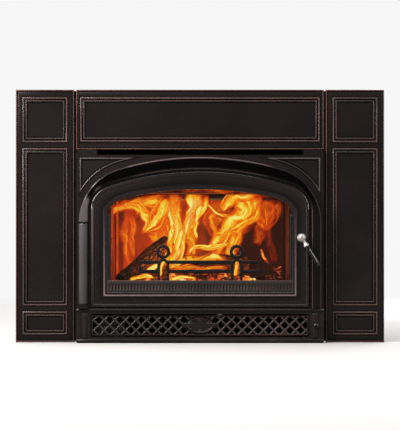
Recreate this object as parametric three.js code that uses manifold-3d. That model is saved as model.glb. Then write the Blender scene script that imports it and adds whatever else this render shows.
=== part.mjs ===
// Cast-iron fireplace insert: an arched glass door with a latch, a hinged lattice grille over a fan,
// a brick-lined firebox in a sheet-metal jacket, and a three-panel cast surround.
// Millimetres. X runs to the right, Y into the fireplace and Z up. The origin is on the hearth, on the
// centre line, in the plane where the surround's back meets the fireplace facing.
import * as THREE from 'three'
import { mergeVertices } from 'three/addons/utils/BufferGeometryUtils.js'
import Module from 'manifold-3d'

const wasm = await Module()
wasm.setup()

// ---------------------------------------------------------------- driving sizes
const clearance = 0.3 // between pieces that touch

// Surround panels
const surroundWidth = 1085.6
const surroundHeight = 743.8
const sidePanelWidth = 172.2
const topPanelHeight = 176.1
const topPanelJoint = 5.9 // between the top panel and each side panel
const panelDepth = 14
const panelSkin = 6
const panelRim = 8
const frameMargin = 21.5 // from a panel's edge to its outer bead
const frameRail = 15.5 // between one moulded frame and the next
const squareFrameHeight = 134.5
const footFrameHeight = 70
const beadWidth = 5
const beadRise = 2.6
const innerBeadInset = 10
const innerBeadWidth = 3
const fieldRecess = 2
const strapWidth = 68
const strapThickness = 2.5
const strapFoot = 3
const strapTopMargin = 2.8 // from the side panel's top

// Front casting
const castingJoint = 7.6 // between the casting and each side panel
const castingProud = 36 // of its face, from the surround's back plane
const castingThickness = 10
const flangeThickness = 8
const topJoint = 1.7
const slotHeight = 15
const slotEnd = 61 // from the casting's side to the end of the convection slot

// Arched moulding: legs, crown and radii
const archBorder = 8
const archLegWidth = 28
const archTopBorder = 6
const archCrownWidth = 37
const archRise = 22
const archChamfer = 6
const outerCornerRadius = 166
const outerCrownRadius = 841
const innerCornerRadius = 79
const innerCrownRadius = 849.5
const spandrelOffset = 18 // from the moulding to the spandrel's bead
const spandrelMargin = 9.5 // from the casting's side to the bead
const spandrelTopMargin = 7.4
const spandrelBead = 4

// Door opening in the casting, behind the door
const openingInset = 38 // from the door's side
const openingTopInset = 29
const openingSill = 26
const openingCornerRadius = 70
const openingCrownRadius = 753
const notchWidth = 23
const notchBelow = 23
const notchAbove = 28

// Door
const doorGap = 5
const doorLift = 1
const doorThickness = 10.5
const sealGap = 1.5 // between the door's back and the casting's face
const doorEdgeBead = 15
const doorBeadRise = 4.5
const windowRail = 46 // lower rail, up to the window
const windowInset = 51
const windowTopInset = 53.5
const windowArchInset = 34.5 // of the arch that the window follows, from the door's side
const windowCornerRadius = 93.5
const windowCrownRadius = 960
const windowBeadInset = 5.5
const windowBeadWidth = 7
const glassLap = 7
const glassThickness = 4
const glassProud = 0.5 // of the glass's back, past the door's back
const glassTapeThickness = 1.4
const glassTapeWidth = 5
const retainerWidth = 18
const retainerThickness = 2
const retainerTopInset = 73.4 // from the top of the window
const retainerLap = 4 // past the glass's edge
const ropeInset = 6
const ropeWidth = 8
const ropeDepth = 5
const flutedStripHeight = 35
const fluteHeight = 13
const fluteFoot = 6
const flutePitch = 9.3
const fluteDepth = 2.2
const flutedStripThickness = 4.2

// Hinge column and pins
const columnRadius = 13
const columnGap = 7 // between column and door
const columnHeight = 239.5
const columnLift = 10
const hingePinRadius = 4
const hingePinReach = 26 // length of pin in the column
const hingeSeatReach = 17
const legEndGap = 3.5
const lugThickness = 9.4
const columnAxisProud = 13.5 // of the hinge axis, from the casting's face
const columnTabHeight = 30
const columnTabShares = [0.08, 0.46, 0.84] // of the column's free height

// Latch
const hubInset = 25
const hubHeight = 206
const hubRadius = 13
const hubStandoff = 20 // of the hub's centre, from the door's face
const collarRadius = 9.6
const collarThickness = 3
const gripAngle = THREE.MathUtils.degToRad(-58.5)
const gripStart = 29
const gripLength = 69
const gripRadius = 6.35
const neckRadius = 4.6
const ferruleRadius = 8.6
const spindleRadius = 5
const neckFoot = 5 // from the hub's centre
const pawlLength = 20
const pawlWidth = 8
const pawlThickness = 5
const pawlAngle = THREE.MathUtils.degToRad(110)
const nutRadius = 7
const nutThickness = 3
const keeperWidth = 20
const keeperHeight = 12

// Lower grille
const groundGap = 3
const grilleHeight = 97.5
const grilleDepth = 20
const grilleProud = 14 // of its face, from the casting's face
const ledgeProud = 4
const topLedge = 9.5
const bottomLedge = 8
const postWidth = 41
const grilleTopRail = 16
const grilleBottomRail = 14
const grooveWidth = 3
const grooveDepth = 3
const grooveInset = 15
const seatLedge = 8
const seatLedgeThickness = 6
const latticeGap = 4
const latticeThickness = 6
const latticeBorder = 4
const latticePitchX = 31.1
const latticePitchZ = 30.3
const latticeHole = 9.7 // half the diagonal of a hole
const smallestHole = 12 // area of one cut off at the border
const ovalHalfWidth = 38.8
const ovalHalfHeight = 23
const ovalBead = 4.5
const ovalRise = 2.5
const strapHalfHeight = 7
const grilleAxisInset = 16
const grilleAxisDepth = 9
const grillePinRadius = 3
const grillePinReach = 13
const grillePinSocket = 5 // depth of its bore in the casting
const knobRadius = 8.5
const knobReach = 18
const knobInset = 23
const knobShankRadius = 2.7
const knobShankReach = 7.5

// Air control
const leverX = 58.4
const leverWidth = 8
const leverThickness = 2.6
const leverReach = 6 // of its tip past the lattice's back
const airTravel = 35
const shutterWidth = 120
const shutterDepth = 36
const shutterThickness = 2
const airHoleWidth = 56
const airHoleDepth = 16
const ductWall = 3.5
const ductSetback = 2 // from the firebox's front
const airHoleSetback = 8
const leverShank = 14 // under the shutter

// Fan
const fanRadius = 29
const fanBladeDepth = 6
const fanBlades = 16
const fanLength = 300
const fanShaftRadius = 4
const fanY = 112
const fanHousingGap = 5
const fanSheet = 2
const fanOutletLength = 82
const fanEndGap = 4
const fanIntakeLift = 8 // of the intake's lower edge, above the shaft
const fanCoverReach = 12 // of the cover, in front of the shaft
const fanShaftTail = 8
const fanShaftDrive = 18 // of the shaft, into the motor
const motorRadius = 31
const motorLength = 58
const motorFootInset = 4
const motorFootHalf = 14
const controlInset = 57.5 // of its middle, from the jacket's side
const controlWidth = 84
const controlHeight = 64
const controlSheet = 2
const controlSetback = 8 // from the grille's back
const controlFootDepth = 22
const controlShare = 0.6 // of its height, up to the knob and switch
const fanKnobRadius = 12
const fanKnobLength = 12
const fanKnobShaft = 3
const fanKnobShaftReach = 5 // behind the plate
const rockerWidth = 14
const rockerHeight = 16
const rockerReach = 3 // in front of and behind the plate
const rockerSwing = 4 // room above and below it

// Firebox and jacket
const baseThickness = 2.5
const jacketInset = 43.5 // from the casting's side to the jacket's
const jacketSheet = 1.5
const jacketBack = 400
const jacketCorner = 70
const jacketCornerRun = 41.3 // across the back, of each cut corner
const plateStep = 2 // from the surround's back to where the base plate narrows
const wingInset = 3
const fireboxGap = 25
const fireboxSheet = 5
const fireboxBackGap = 59
const fireboxFloorLift = 11 // above the casting's bottom
const plenumHeight = 60.9 // from the firebox's crown to the casting's top
const brickThickness = 26
const floorBrickThickness = 30
const floorBrickFront = 6
const smokeHeight = 65.7 // from the wall bricks' top to the firebox's crown
const baffleThickness = 20
const baffleFront = 70
const airTubeRadius = 9
const airTubeY = [110, 210]
const flueRadius = 75
const flueWall = 3.5
const flueY = 190
const flueReach = 134.9 // above the firebox's crown
const flueFlange = 92
const flueFlangeThickness = 5
const standThickness = 4
const standInset = 60
const standY = 285
const inletWidth = 28
const inletHeight = 22
const inletX = 200
const inletZ = 45
const inletDepth = 14
const inletWall = 3

// Andirons, logs and embers
const andironX = 108.7
const ringZ = 265.8
const ringOuter = 20.8
const ringInner = 11.5
const legSpread = 13.5
const legWidth = 8.5
const legArchTop = 245.5
const railUpperZ = 234.9
const railLowerZ = 207.6
const railWidth = 10.5
const railEnd = 181
const railPost = 7.5
const rackDepth = 10
const rackFrontGap = 4 // from the floor brick's front
// The bed's ends are shares of the lining's half width.
const bedLeftShare = -0.669
const bedRightShare = 0.554
const bedHeight = 28
const bedPeak = 60 // from the middle to the end of its level top
const bedFront = 40 // from the floor brick's front
const bedBackGap = 25
const bedShoulder = 12
// Each log runs from its left end's centre to its right one's: X in shares of the lining's half width,
// then Y. Its height is above what it lies on.
const logLeaning = {
  leftShare: -0.887, leftY: 66, rightShare: -0.359, rightY: 152, height: 27, rise: 113, radius: 33, phase: 0,
}
const logBack = {
  leftShare: -0.573, leftY: 235, rightShare: 0.573, rightY: 240, height: 40.3, rise: 0, radius: 40, phase: 1,
}
const logMiddle = {
  leftShare: -0.183, leftY: 112, rightShare: 0.504, rightY: 122, height: 34.6, rise: 0, radius: 34, phase: 0,
}
const logRight = {
  leftShare: 0.611, leftY: 84, rightShare: 0.902, rightY: 120, height: 32.5, rise: 0, radius: 32, phase: 1,
}

// ---------------------------------------------------------------- levels and planes
const grilleTop = groundGap + grilleHeight
const castingBottom = grilleTop + 2 * clearance
const castingTop = surroundHeight - topPanelHeight - topJoint
const slotBottom = castingTop - slotHeight
const castingHalf = surroundWidth / 2 - sidePanelWidth - castingJoint
const castingFace = -castingProud
const castingBack = castingFace + castingThickness
const outerArch = {
  half: castingHalf - archBorder,
  corner: outerCornerRadius,
  crown: outerCrownRadius,
  top: slotBottom - archTopBorder,
}
const innerArch = {
  half: outerArch.half - archLegWidth,
  corner: innerCornerRadius,
  crown: innerCrownRadius,
  top: outerArch.top - archCrownWidth,
}
const doorArch = inset(innerArch, doorGap)
const doorBottom = castingBottom + doorLift
const doorBack = castingFace - sealGap
const doorFace = doorBack - doorThickness
const openingArch = {
  half: doorArch.half - openingInset,
  corner: openingCornerRadius,
  crown: openingCrownRadius,
  top: doorArch.top - openingTopInset,
}
const openingBottom = doorBottom + openingSill
const windowSide = doorArch.half - windowInset
const windowBottom = doorBottom + windowRail
const windowArch = {
  half: doorArch.half - windowArchInset,
  corner: windowCornerRadius,
  crown: windowCrownRadius,
  top: doorArch.top - windowTopInset,
}
const glassBack = doorBack + glassProud
const glassFront = glassBack - glassThickness
const rebateFace = glassFront - glassTapeThickness - 2 * clearance
const columnX = -(doorArch.half + columnGap + columnRadius)
const hingeY = castingFace - columnAxisProud
const columnBottom = doorBottom + columnLift
const columnTop = columnBottom + columnHeight
const hubX = doorArch.half - hubInset
const hubZ = doorBottom + hubHeight
const hubY = doorFace - hubStandoff
const grilleFace = castingFace - grilleProud
const grilleBack = grilleFace + grilleDepth
const grilleAxisX = -(castingHalf - grilleAxisInset)
const grilleAxisY = grilleFace + grilleAxisDepth
const frameHalf = castingHalf - postWidth
const frameBottom = groundGap + grilleBottomRail
const frameTop = grilleTop - grilleTopRail
const latticeBack = grilleBack - seatLedgeThickness - clearance
const latticeFront = latticeBack - latticeThickness
const jacketHalfWidth = castingHalf - jacketInset
const fireboxHalf = jacketHalfWidth - jacketSheet - fireboxGap
const fireboxBack = jacketBack - fireboxBackGap
const fireboxFront = castingBack + clearance
const fireboxBottom = castingBottom + fireboxFloorLift
const fireboxFloorTop = fireboxBottom + fireboxSheet
const fireboxTop = castingTop - plenumHeight
const flueTop = fireboxTop + flueReach
const hearthTop = fireboxFloorTop + clearance + floorBrickThickness
const jacketTop = castingTop + clearance

// ---------------------------------------------------------------- finishes
const finish = (color, roughness, metalness) => ({ color, roughness, metalness })
const enamel = finish(0x2c2526, 0.22, 0.0)
const darkEnamel = finish(0x1c1718, 0.16, 0.0)
const castIron = finish(0x242a30, 0.55, 0.6)
const nickel = finish(0xd8d2c8, 0.18, 1.0)
const steel = finish(0x8b8d8f, 0.4, 0.9)
const galvanised = finish(0x9a9c9d, 0.45, 0.8)
const blackSheet = finish(0x2a2a2b, 0.6, 0.4)
const firebrick = finish(0xa08a6c, 0.95, 0.0)
const wood = finish(0x3a241a, 0.95, 0.0)
const ember = finish(0xd2541c, 0.9, 0.0)
const gasketRope = finish(0xa7a59c, 0.95, 0.0)
const glassFinish = finish(0x2b2422, 0.05, 0.0)
const blackPlastic = finish(0x17171a, 0.5, 0.0)

const insert = new THREE.Group()

function place(name, shape, look, parent = insert) {
  const geometry = shape.isBufferGeometry ? shape : toGeometry(shape)
  const mesh = new THREE.Mesh(geometry, new THREE.MeshStandardMaterial(look))
  mesh.name = name
  parent.add(mesh)
  return mesh
}

// ---------------------------------------------------------------- solids
// A closed mesh with its shared corners merged, as a solid that can be joined and cut.
function toSolid(source) {
  if (!source.isBufferGeometry) return source
  const bare = source.clone()
  bare.deleteAttribute('normal')
  bare.deleteAttribute('uv')
  const merged = mergeVertices(bare, 1e-4)
  const index = Array.from(merged.index.array)
  const kept = []
  for (let i = 0; i < index.length; i += 3) {
    const [a, b, c] = index.slice(i, i + 3)
    if (a !== b && b !== c && c !== a) kept.push(a, b, c)
  }
  const mesh = new wasm.Mesh({
    numProp: 3,
    vertProperties: new Float32Array(merged.attributes.position.array),
    triVerts: new Uint32Array(kept),
  })
  return new wasm.Manifold(mesh)
}

function toGeometry(solid) {
  const mesh = solid.getMesh()
  const geometry = new THREE.BufferGeometry()
  geometry.setAttribute('position', new THREE.BufferAttribute(mesh.vertProperties, 3))
  geometry.setIndex(new THREE.BufferAttribute(mesh.triVerts, 1))
  geometry.computeVertexNormals()
  return geometry
}

const join = (first, ...others) => others.reduce((sum, next) => sum.add(toSolid(next)), toSolid(first))
const cut = (base, ...tools) => tools.reduce((left, tool) => left.subtract(toSolid(tool)), toSolid(base))

function box(x0, x1, y0, y1, z0, z1) {
  const geometry = new THREE.BoxGeometry(x1 - x0, y1 - y0, z1 - z0)
  return geometry.translate((x0 + x1) / 2, (y0 + y1) / 2, (z0 + z1) / 2)
}

// Round bars along each axis, from one end to the other.
function barZ(x, y, radius, z0, z1, sides = 16) {
  return new THREE.CylinderGeometry(radius, radius, z1 - z0, sides)
    .rotateX(Math.PI / 2).translate(x, y, (z0 + z1) / 2)
}

function barY(x, z, radius, y0, y1, sides = 16) {
  return new THREE.CylinderGeometry(radius, radius, y1 - y0, sides).translate(x, (y0 + y1) / 2, z)
}

function barX(y, z, radius, x0, x1, sides = 16) {
  return new THREE.CylinderGeometry(radius, radius, x1 - x0, sides)
    .rotateZ(Math.PI / 2).translate((x0 + x1) / 2, y, z)
}

const point = (x, z) => new THREE.Vector2(x, z)

// A flat shape with holes, its outline running anticlockwise.
function flatShape(outline, holes) {
  const shape = new THREE.Shape(THREE.ShapeUtils.isClockWise(outline) ? [...outline].reverse() : outline)
  shape.holes = holes.map((hole) => new THREE.Path(hole))
  return shape
}

// A slab whose outline is drawn in X and Z. It runs from y = front back to y = back, and a chamfer
// breaks its edges.
function slab(outline, holes, front, back, chamfer = 0) {
  const geometry = new THREE.ExtrudeGeometry(flatShape(outline, holes), {
    depth: back - front - 2 * chamfer,
    bevelEnabled: chamfer > 0,
    bevelThickness: chamfer,
    bevelSize: chamfer,
    bevelOffset: -chamfer,
    bevelSegments: 1,
  })
  return geometry.rotateX(Math.PI / 2).translate(0, back - chamfer, 0)
}

// A prism whose outline is drawn in X and Y, from z0 up to z1.
function prism(outline, holes, z0, z1) {
  const options = { depth: z1 - z0, bevelEnabled: false }
  return new THREE.ExtrudeGeometry(flatShape(outline, holes), options).translate(0, 0, z0)
}

// ---------------------------------------------------------------- outlines
const rectangle = (x0, x1, z0, z1) => [point(x0, z0), point(x1, z0), point(x1, z1), point(x0, z1)]

function arc(x, z, radius, from, to, steps) {
  const angles = Array.from({ length: steps + 1 }, (_, i) => from + (to - from) * i / steps)
  return angles.map((angle) => point(x + radius * Math.cos(angle), z + radius * Math.sin(angle)))
}

function circle(x, z, radius, steps = 24) {
  return arc(x, z, radius, 0, 2 * Math.PI, steps).slice(0, -1)
}

function ellipse(halfWidth, halfHeight, z, steps = 32) {
  return circle(0, 0, 1, steps).map((p) => point(p.x * halfWidth, z + p.y * halfHeight))
}

// The same three-centred arch, moved in by a distance all round.
function inset(arch, distance) {
  return {
    half: arch.half - distance,
    corner: arch.corner - distance,
    crown: arch.crown - distance,
    top: arch.top - distance,
  }
}

// Centre, spring line and tangent angle of a three-centred arch.
function archParts({ half, corner, crown, top }) {
  const centreX = half - corner
  const reach = crown - corner
  return {
    centreX,
    crownZ: top - crown,
    spring: top - crown + Math.sqrt(reach ** 2 - centreX ** 2),
    lean: Math.asin(centreX / reach),
  }
}

// A three-centred arch on straight legs, cut off at x = ±side.
function archOutline(arch, bottom, side = arch.half, steps = 8) {
  const { centreX, crownZ, spring, lean } = archParts(arch)
  const first = Math.acos(Math.min(1, (side - centreX) / arch.corner))
  const upright = Math.PI / 2
  return [
    point(side, bottom),
    ...arc(centreX, spring, arch.corner, first, upright - lean, steps),
    ...arc(0, crownZ, arch.crown, upright - lean, upright + lean, steps).slice(1, -1),
    ...arc(-centreX, spring, arch.corner, upright + lean, Math.PI - first, steps),
    point(-side, bottom),
  ]
}

// ---------------------------------------------------------------- surround
// One moulded frame: a bead, a second finer bead inside it, and a sunk field.
function mouldFrame(panel, x0, x1, z0, z1) {
  const bead = (distance, width, rise) => {
    const outer = rectangle(x0 + distance, x1 - distance, z0 + distance, z1 - distance)
    const inner = rectangle(
      x0 + distance + width, x1 - distance - width, z0 + distance + width, z1 - distance - width)
    return slab(outer, [inner], -panelDepth - rise, -panelDepth + rise, rise * 0.6)
  }
  const sunk = innerBeadInset + innerBeadWidth
  const field = box(
    x0 + sunk, x1 - sunk, -panelDepth - 1, -panelDepth + fieldRecess, z0 + sunk, z1 - sunk)
  const outerBead = bead(0, beadWidth, beadRise)
  const innerBead = bead(innerBeadInset, innerBeadWidth, beadRise * 0.6)
  return join(cut(panel, field), outerBead, innerBead)
}

// A panel: a skin with a rim turned back to the wall, and its moulded frames.
function surroundPanel(x0, x1, z0, z1, frames) {
  const hollow = box(
    x0 + panelRim, x1 - panelRim, -panelDepth + panelSkin, 1, z0 + panelRim, z1 - panelRim)
  const blank = cut(slab(rectangle(x0, x1, z0, z1), [], -panelDepth, 0, 1.2), hollow)
  return frames.reduce((panel, frame) => mouldFrame(panel, ...frame), blank)
}

const sideInner = surroundWidth / 2 - sidePanelWidth
const topHalf = sideInner - topPanelJoint
const topBottom = surroundHeight - topPanelHeight
const squareTop = surroundHeight - frameMargin
const squareBottom = squareTop - squareFrameHeight
const footTop = frameMargin + footFrameHeight
for (const [side, x0] of [['left', -surroundWidth / 2], ['right', sideInner]]) {
  const left = x0 + frameMargin - beadWidth / 2
  const right = x0 + sidePanelWidth - frameMargin + beadWidth / 2
  const panel = surroundPanel(x0, x0 + sidePanelWidth, 0, surroundHeight, [
    [left, right, squareBottom, squareTop],
    [left, right, footTop + frameRail, squareBottom - frameRail],
    [left, right, frameMargin, footTop],
  ])
  place(`surround_${side}_panel`, panel, enamel)
}
const topFrameEnd = topHalf - frameMargin / 2
place('surround_top_panel', surroundPanel(-topHalf, topHalf, topBottom, surroundHeight, [
  [-topFrameEnd, topFrameEnd, topBottom + frameMargin, surroundHeight - frameMargin],
]), enamel)

// Flat straps behind the joints carry the panels on the casting's flanges.
const strapOuter = sideInner + strapWidth / 2
for (const [side, sign] of [['left', -1], ['right', 1]]) {
  const ends = [sign * (strapOuter - strapWidth), sign * strapOuter].sort((a, b) => a - b)
  const strap = box(
    ...ends, clearance, clearance + strapThickness, strapFoot, surroundHeight - strapTopMargin)
  place(`surround_${side}_strap`, strap, blackSheet)
}

// ---------------------------------------------------------------- front casting
// The spandrel's outline beside the arch, drawn in by a distance all round.
function spandrel(sign, drawn) {
  const arch = inset(outerArch, -spandrelOffset - drawn)
  const { centreX, crownZ, spring, lean } = archParts(arch)
  const sideX = castingHalf - spandrelMargin - drawn
  const topZ = slotBottom - spandrelTopMargin - drawn
  const upright = Math.PI / 2
  const crownStart = Math.asin((topZ - crownZ) / arch.crown)
  const meetsCrown = crownStart > upright - lean
  const cornerStart = meetsCrown ? upright - lean : Math.asin((topZ - spring) / arch.corner)
  const cornerEnd = Math.acos(Math.min(1, (sideX - centreX) / arch.corner))
  const crownPart = meetsCrown ? arc(0, crownZ, arch.crown, crownStart, upright - lean, 4).slice(0, -1) : []
  const outline = [
    point(sideX, topZ), ...crownPart, ...arc(centreX, spring, arch.corner, cornerStart, cornerEnd, 6),
  ]
  return outline.map((p) => point(sign * p.x, p.y))
}

function frontCasting() {
  const lip = castingHalf - slotEnd
  const outline = [
    point(-castingHalf, castingBottom), point(castingHalf, castingBottom),
    point(castingHalf, castingTop), point(lip, castingTop), point(lip, slotBottom),
    point(-lip, slotBottom), point(-lip, castingTop), point(-castingHalf, castingTop),
  ]
  const opening = archOutline(openingArch, openingBottom)
  const plate = slab(outline, [opening], castingFace, castingBack)
  const flanges = [-castingHalf, castingHalf - flangeThickness].map((x) =>
    box(x, x + flangeThickness, castingBack - 1, 0, castingBottom, castingTop))

  const band = slab(
    [...archOutline(outerArch, castingBottom), ...archOutline(innerArch, castingBottom).reverse()],
    [], castingFace - archRise, castingFace + archChamfer + 1, archChamfer)
  const columnSpace = box(
    -castingHalf - 1, -innerArch.half + archLegWidth, castingFace - archRise - 1, castingFace,
    castingBottom - 1, columnTop + legEndGap)
  const moulding = cut(band, columnSpace)

  const lug = box(
    columnX - columnRadius - 2, columnX + columnRadius, hingeY - columnRadius, castingFace + 1,
    castingBottom, castingBottom + lugThickness)
  const spandrels = [-1, 1].map((sign) => slab(
    spandrel(sign, 0), [spandrel(sign, spandrelBead)], castingFace - beadRise, castingFace + beadRise,
    beadRise * 0.5))

  const notch = box(
    openingArch.half - 1, openingArch.half + notchWidth, castingFace - 1, castingBack + 1,
    hubZ - notchBelow, hubZ + notchAbove)
  const hingeBores = [
    barZ(columnX, hingeY, hingePinRadius + clearance, columnTop, columnTop + legEndGap + hingeSeatReach),
    barZ(columnX, hingeY, hingePinRadius + clearance, castingBottom + 2, columnBottom),
    barZ(
      grilleAxisX, grilleAxisY, grillePinRadius + clearance, castingBottom - 1,
      castingBottom + grillePinSocket),
  ]
  return cut(join(plate, ...flanges, moulding, lug, ...spandrels), notch, ...hingeBores)
}
place('front_casting', frontCasting(), enamel)

// ---------------------------------------------------------------- door
function archRing(outer, outerBottom, outerSide, inner, innerBottom, innerSide, front, back, chamfer) {
  const hole = archOutline(inner, innerBottom, innerSide)
  return slab(archOutline(outer, outerBottom, outerSide), [hole], front, back, chamfer)
}

// A ring that follows the door's edge, from one distance inside it to another.
function doorRing(near, far, front, back, chamfer = 0) {
  const outer = inset(doorArch, near)
  const inner = inset(doorArch, far)
  return archRing(
    outer, doorBottom + near, outer.half, inner, doorBottom + far, inner.half, front, back, chamfer)
}

// The window's outline grown by a distance all round.
function windowOutline(grow) {
  return archOutline(inset(windowArch, -grow), windowBottom - grow, windowSide + grow)
}

function windowRing(near, far, front, back, chamfer = 0) {
  return slab(windowOutline(far), [windowOutline(near)], front, back, chamfer)
}

function doorCasting() {
  const plate = slab(archOutline(doorArch, doorBottom), [windowOutline(0)], doorFace, doorBack)
  const edgeBead = doorRing(0, doorEdgeBead, doorFace - doorBeadRise, doorFace + doorBeadRise, 3)
  const windowBead = windowRing(
    windowBeadInset, windowBeadInset + windowBeadWidth, doorFace - doorBeadRise,
    doorFace + doorBeadRise, 2.4)
  const rebate = slab(windowOutline(glassLap + clearance), [], rebateFace, doorBack + 1)
  const channel = doorRing(ropeInset, ropeInset + ropeWidth, doorBack - ropeDepth, doorBack + 1)
  const spindleBore = barY(
    hubX, hubZ, spindleRadius + clearance, doorFace - doorThickness, doorBack + doorThickness)
  return cut(join(plate, edgeBead, windowBead), rebate, channel, spindleBore)
}

const door = new THREE.Group()
insert.add(door)
place('door_casting', doorCasting(), enamel, door)
place('door_glass', slab(windowOutline(glassLap), [], glassFront, glassBack), glassFinish, door)
place('glass_tape', windowRing(
  glassLap - glassTapeWidth, glassLap, rebateFace + clearance, glassFront - clearance), gasketRope, door)
place('door_rope', doorRing(
  ropeInset + clearance, ropeInset + ropeWidth - clearance, doorBack - ropeDepth + clearance,
  castingFace - clearance), gasketRope, door)

// A U of flat bar behind the glass holds it in its rebate.
function glassRetainer() {
  const front = glassBack + clearance
  const back = front + retainerThickness
  const outer = windowSide + glassLap + retainerLap
  const inner = outer - retainerWidth
  const foot = windowBottom - glassLap - retainerLap
  const top = windowArch.top - retainerTopInset
  return slab([
    point(-outer, foot), point(outer, foot), point(outer, top), point(inner, top),
    point(inner, foot + retainerWidth), point(-inner, foot + retainerWidth), point(-inner, top),
    point(-outer, top),
  ], [], front, back)
}
place('glass_retainer', glassRetainer(), steel, door)

// The strip under the glass, with a row of half-round ribs.
function flutedStrip() {
  const half = windowSide - clearance
  const bottom = windowBottom + clearance
  const top = windowBottom + flutedStripHeight
  const back = rebateFace - clearance
  const front = back - flutedStripThickness
  const ribs = 2 * Math.floor((half - flutePitch / 2) / flutePitch)
  const start = -ribs / 2 * flutePitch
  const profile = [point(-half, back), point(-half, front), point(start, front)]
  for (let i = 0; i < ribs; i++) {
    const x = start + i * flutePitch
    profile.push(
      point(x + flutePitch * 0.14, front + fluteDepth), point(x + flutePitch * 0.36, front + 0.5),
      point(x + flutePitch * 0.64, front + 0.5), point(x + flutePitch * 0.86, front + fluteDepth))
  }
  profile.push(point(-start, front), point(half, front), point(half, back))
  const fluteBottom = bottom + fluteFoot
  const fluted = prism(profile, [], fluteBottom - 0.5, fluteBottom + fluteHeight + 0.5)
  return join(
    fluted,
    box(-half, half, front, back, bottom, fluteBottom),
    box(-half, half, front, back, fluteBottom + fluteHeight, top))
}
place('fluted_strip', flutedStrip(), blackSheet, door)

// Hinge column: a round post that turns with the door on two pins.
function hingeColumn() {
  const post = barZ(columnX, hingeY, columnRadius, columnBottom, columnTop, 28)
  const tabs = columnTabShares.map((share) => {
    const z = columnBottom + share * (columnHeight - columnTabHeight)
    return box(
      columnX + columnRadius - 3, -doorArch.half - clearance, doorFace + 1, doorBack - 1.5,
      z, z + columnTabHeight)
  })
  const bore = hingePinRadius + clearance
  return cut(
    join(post, ...tabs),
    barZ(columnX, hingeY, bore, columnTop - hingePinReach - clearance, columnTop + 1),
    barZ(columnX, hingeY, bore, columnBottom - 1, columnBottom + hingePinReach + clearance))
}
place('door_hinge_column', hingeColumn(), darkEnamel, door)
place('door_hinge_pin_top', barZ(
  columnX, hingeY, hingePinRadius, columnTop - hingePinReach,
  columnTop + legEndGap + hingeSeatReach - clearance), steel)
place('door_hinge_pin_bottom', barZ(
  columnX, hingeY, hingePinRadius, castingBottom + 2 + clearance, columnBottom + hingePinReach), steel)

// ---------------------------------------------------------------- latch
const gripWay = new THREE.Vector3(Math.cos(gripAngle), 0, Math.sin(gripAngle))

// A turned piece whose axis runs from the hub's centre along the grip.
function turned(profile, sides = 20) {
  const points = profile.map(([radius, along]) => point(radius, along))
  const toGrip = new THREE.Quaternion().setFromUnitVectors(new THREE.Vector3(0, 1, 0), gripWay)
  return new THREE.LatheGeometry(points, sides).applyQuaternion(toGrip).translate(hubX, hubY, hubZ)
}

// A turned piece on an axis along Y, through (x, z). Its profile is read from front to back.
function turnedY(profile, x, z, sides = 20) {
  return new THREE.LatheGeometry(profile.map(([r, y]) => point(r, y)), sides).translate(x, 0, z)
}

const latch = new THREE.Group()
door.add(latch)
const hubBack = doorFace - clearance
const spindleBack = castingBack - 2 * clearance
const spindleFront = hubY + neckRadius + 1
const hubSocket = barY(hubX, hubZ, spindleRadius + clearance, spindleFront - clearance, hubBack + 1)
place('handle_hub', cut(turnedY([
  [0, hubY - hubRadius * 0.8], [hubRadius * 0.6, hubY - hubRadius * 0.68],
  [hubRadius * 0.92, hubY - hubRadius * 0.3], [hubRadius, hubY + hubRadius * 0.1],
  [hubRadius * 0.86, hubY + hubRadius * 0.55], [hubRadius * 0.62, hubBack - collarThickness - 1.5],
  [collarRadius, hubBack - collarThickness], [collarRadius, hubBack], [0, hubBack],
], hubX, hubZ), hubSocket, turned([
  [0, neckFoot - clearance], [neckRadius + clearance, neckFoot - clearance],
  [neckRadius + clearance, gripStart], [0, gripStart],
])),
nickel, latch)
place('handle_neck', turned([
  [0, neckFoot], [neckRadius, neckFoot], [neckRadius, hubRadius + 2],
  [neckRadius * 0.86, hubRadius + 6], [ferruleRadius * 0.8, gripStart - 5],
  [ferruleRadius, gripStart - 2], [ferruleRadius * 0.9, gripStart - clearance],
  [0, gripStart - clearance],
]), nickel, latch)
const gripEnd = gripStart + gripLength
place('handle_grip', turned([
  [0, gripStart], [gripRadius, gripStart], [gripRadius, gripEnd - 2.5],
  [gripRadius - 1.6, gripEnd - 0.5], [gripRadius - 3, gripEnd], [0, gripEnd],
]), blackPlastic, latch)
place('latch_spindle', barY(hubX, hubZ, spindleRadius, spindleFront, spindleBack), steel, latch)

// The pawl sits on the spindle inside the casting's notch, with a nut behind it.
const pawlFront = glassBack + retainerThickness + 2 * clearance
const pawlBack = pawlFront + pawlThickness
function pawl() {
  const bar = box(0, pawlLength, pawlFront, pawlBack, -pawlWidth / 2, pawlWidth / 2)
  bar.rotateY(-pawlAngle).translate(hubX, 0, hubZ)
  const boss = barY(hubX, hubZ, spindleRadius + 4, pawlFront, pawlBack)
  return cut(join(boss, bar), barY(hubX, hubZ, spindleRadius + clearance, pawlFront - 1, pawlBack + 1))
}
place('latch_pawl', pawl(), steel, latch)
place('spindle_nut', cut(
  barY(hubX, hubZ, nutRadius, pawlBack + clearance, pawlBack + clearance + nutThickness, 6),
  barY(hubX, hubZ, spindleRadius + clearance, pawlBack - 1, pawlBack + nutThickness + 2)), steel, latch)

// The keeper hangs from the notch's top, open towards the front and the glass.
function latchKeeper() {
  const right = openingArch.half + notchWidth - clearance
  const top = hubZ + notchAbove - clearance
  const block = box(right - keeperWidth, right, castingFace, castingBack, top - keeperHeight, top)
  const seat = box(
    right - keeperWidth - 1, right + 1, pawlFront - 2, pawlBack + 1.2, top - keeperHeight - 1,
    hubZ + pawlLength + 2)
  return cut(block, seat)
}
place('latch_keeper', latchKeeper(), steel)

// ---------------------------------------------------------------- lower grille
const grille = new THREE.Group()
insert.add(grille)
const knobX = castingHalf - knobInset
const knobZ = (frameBottom + frameTop) / 2

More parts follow.
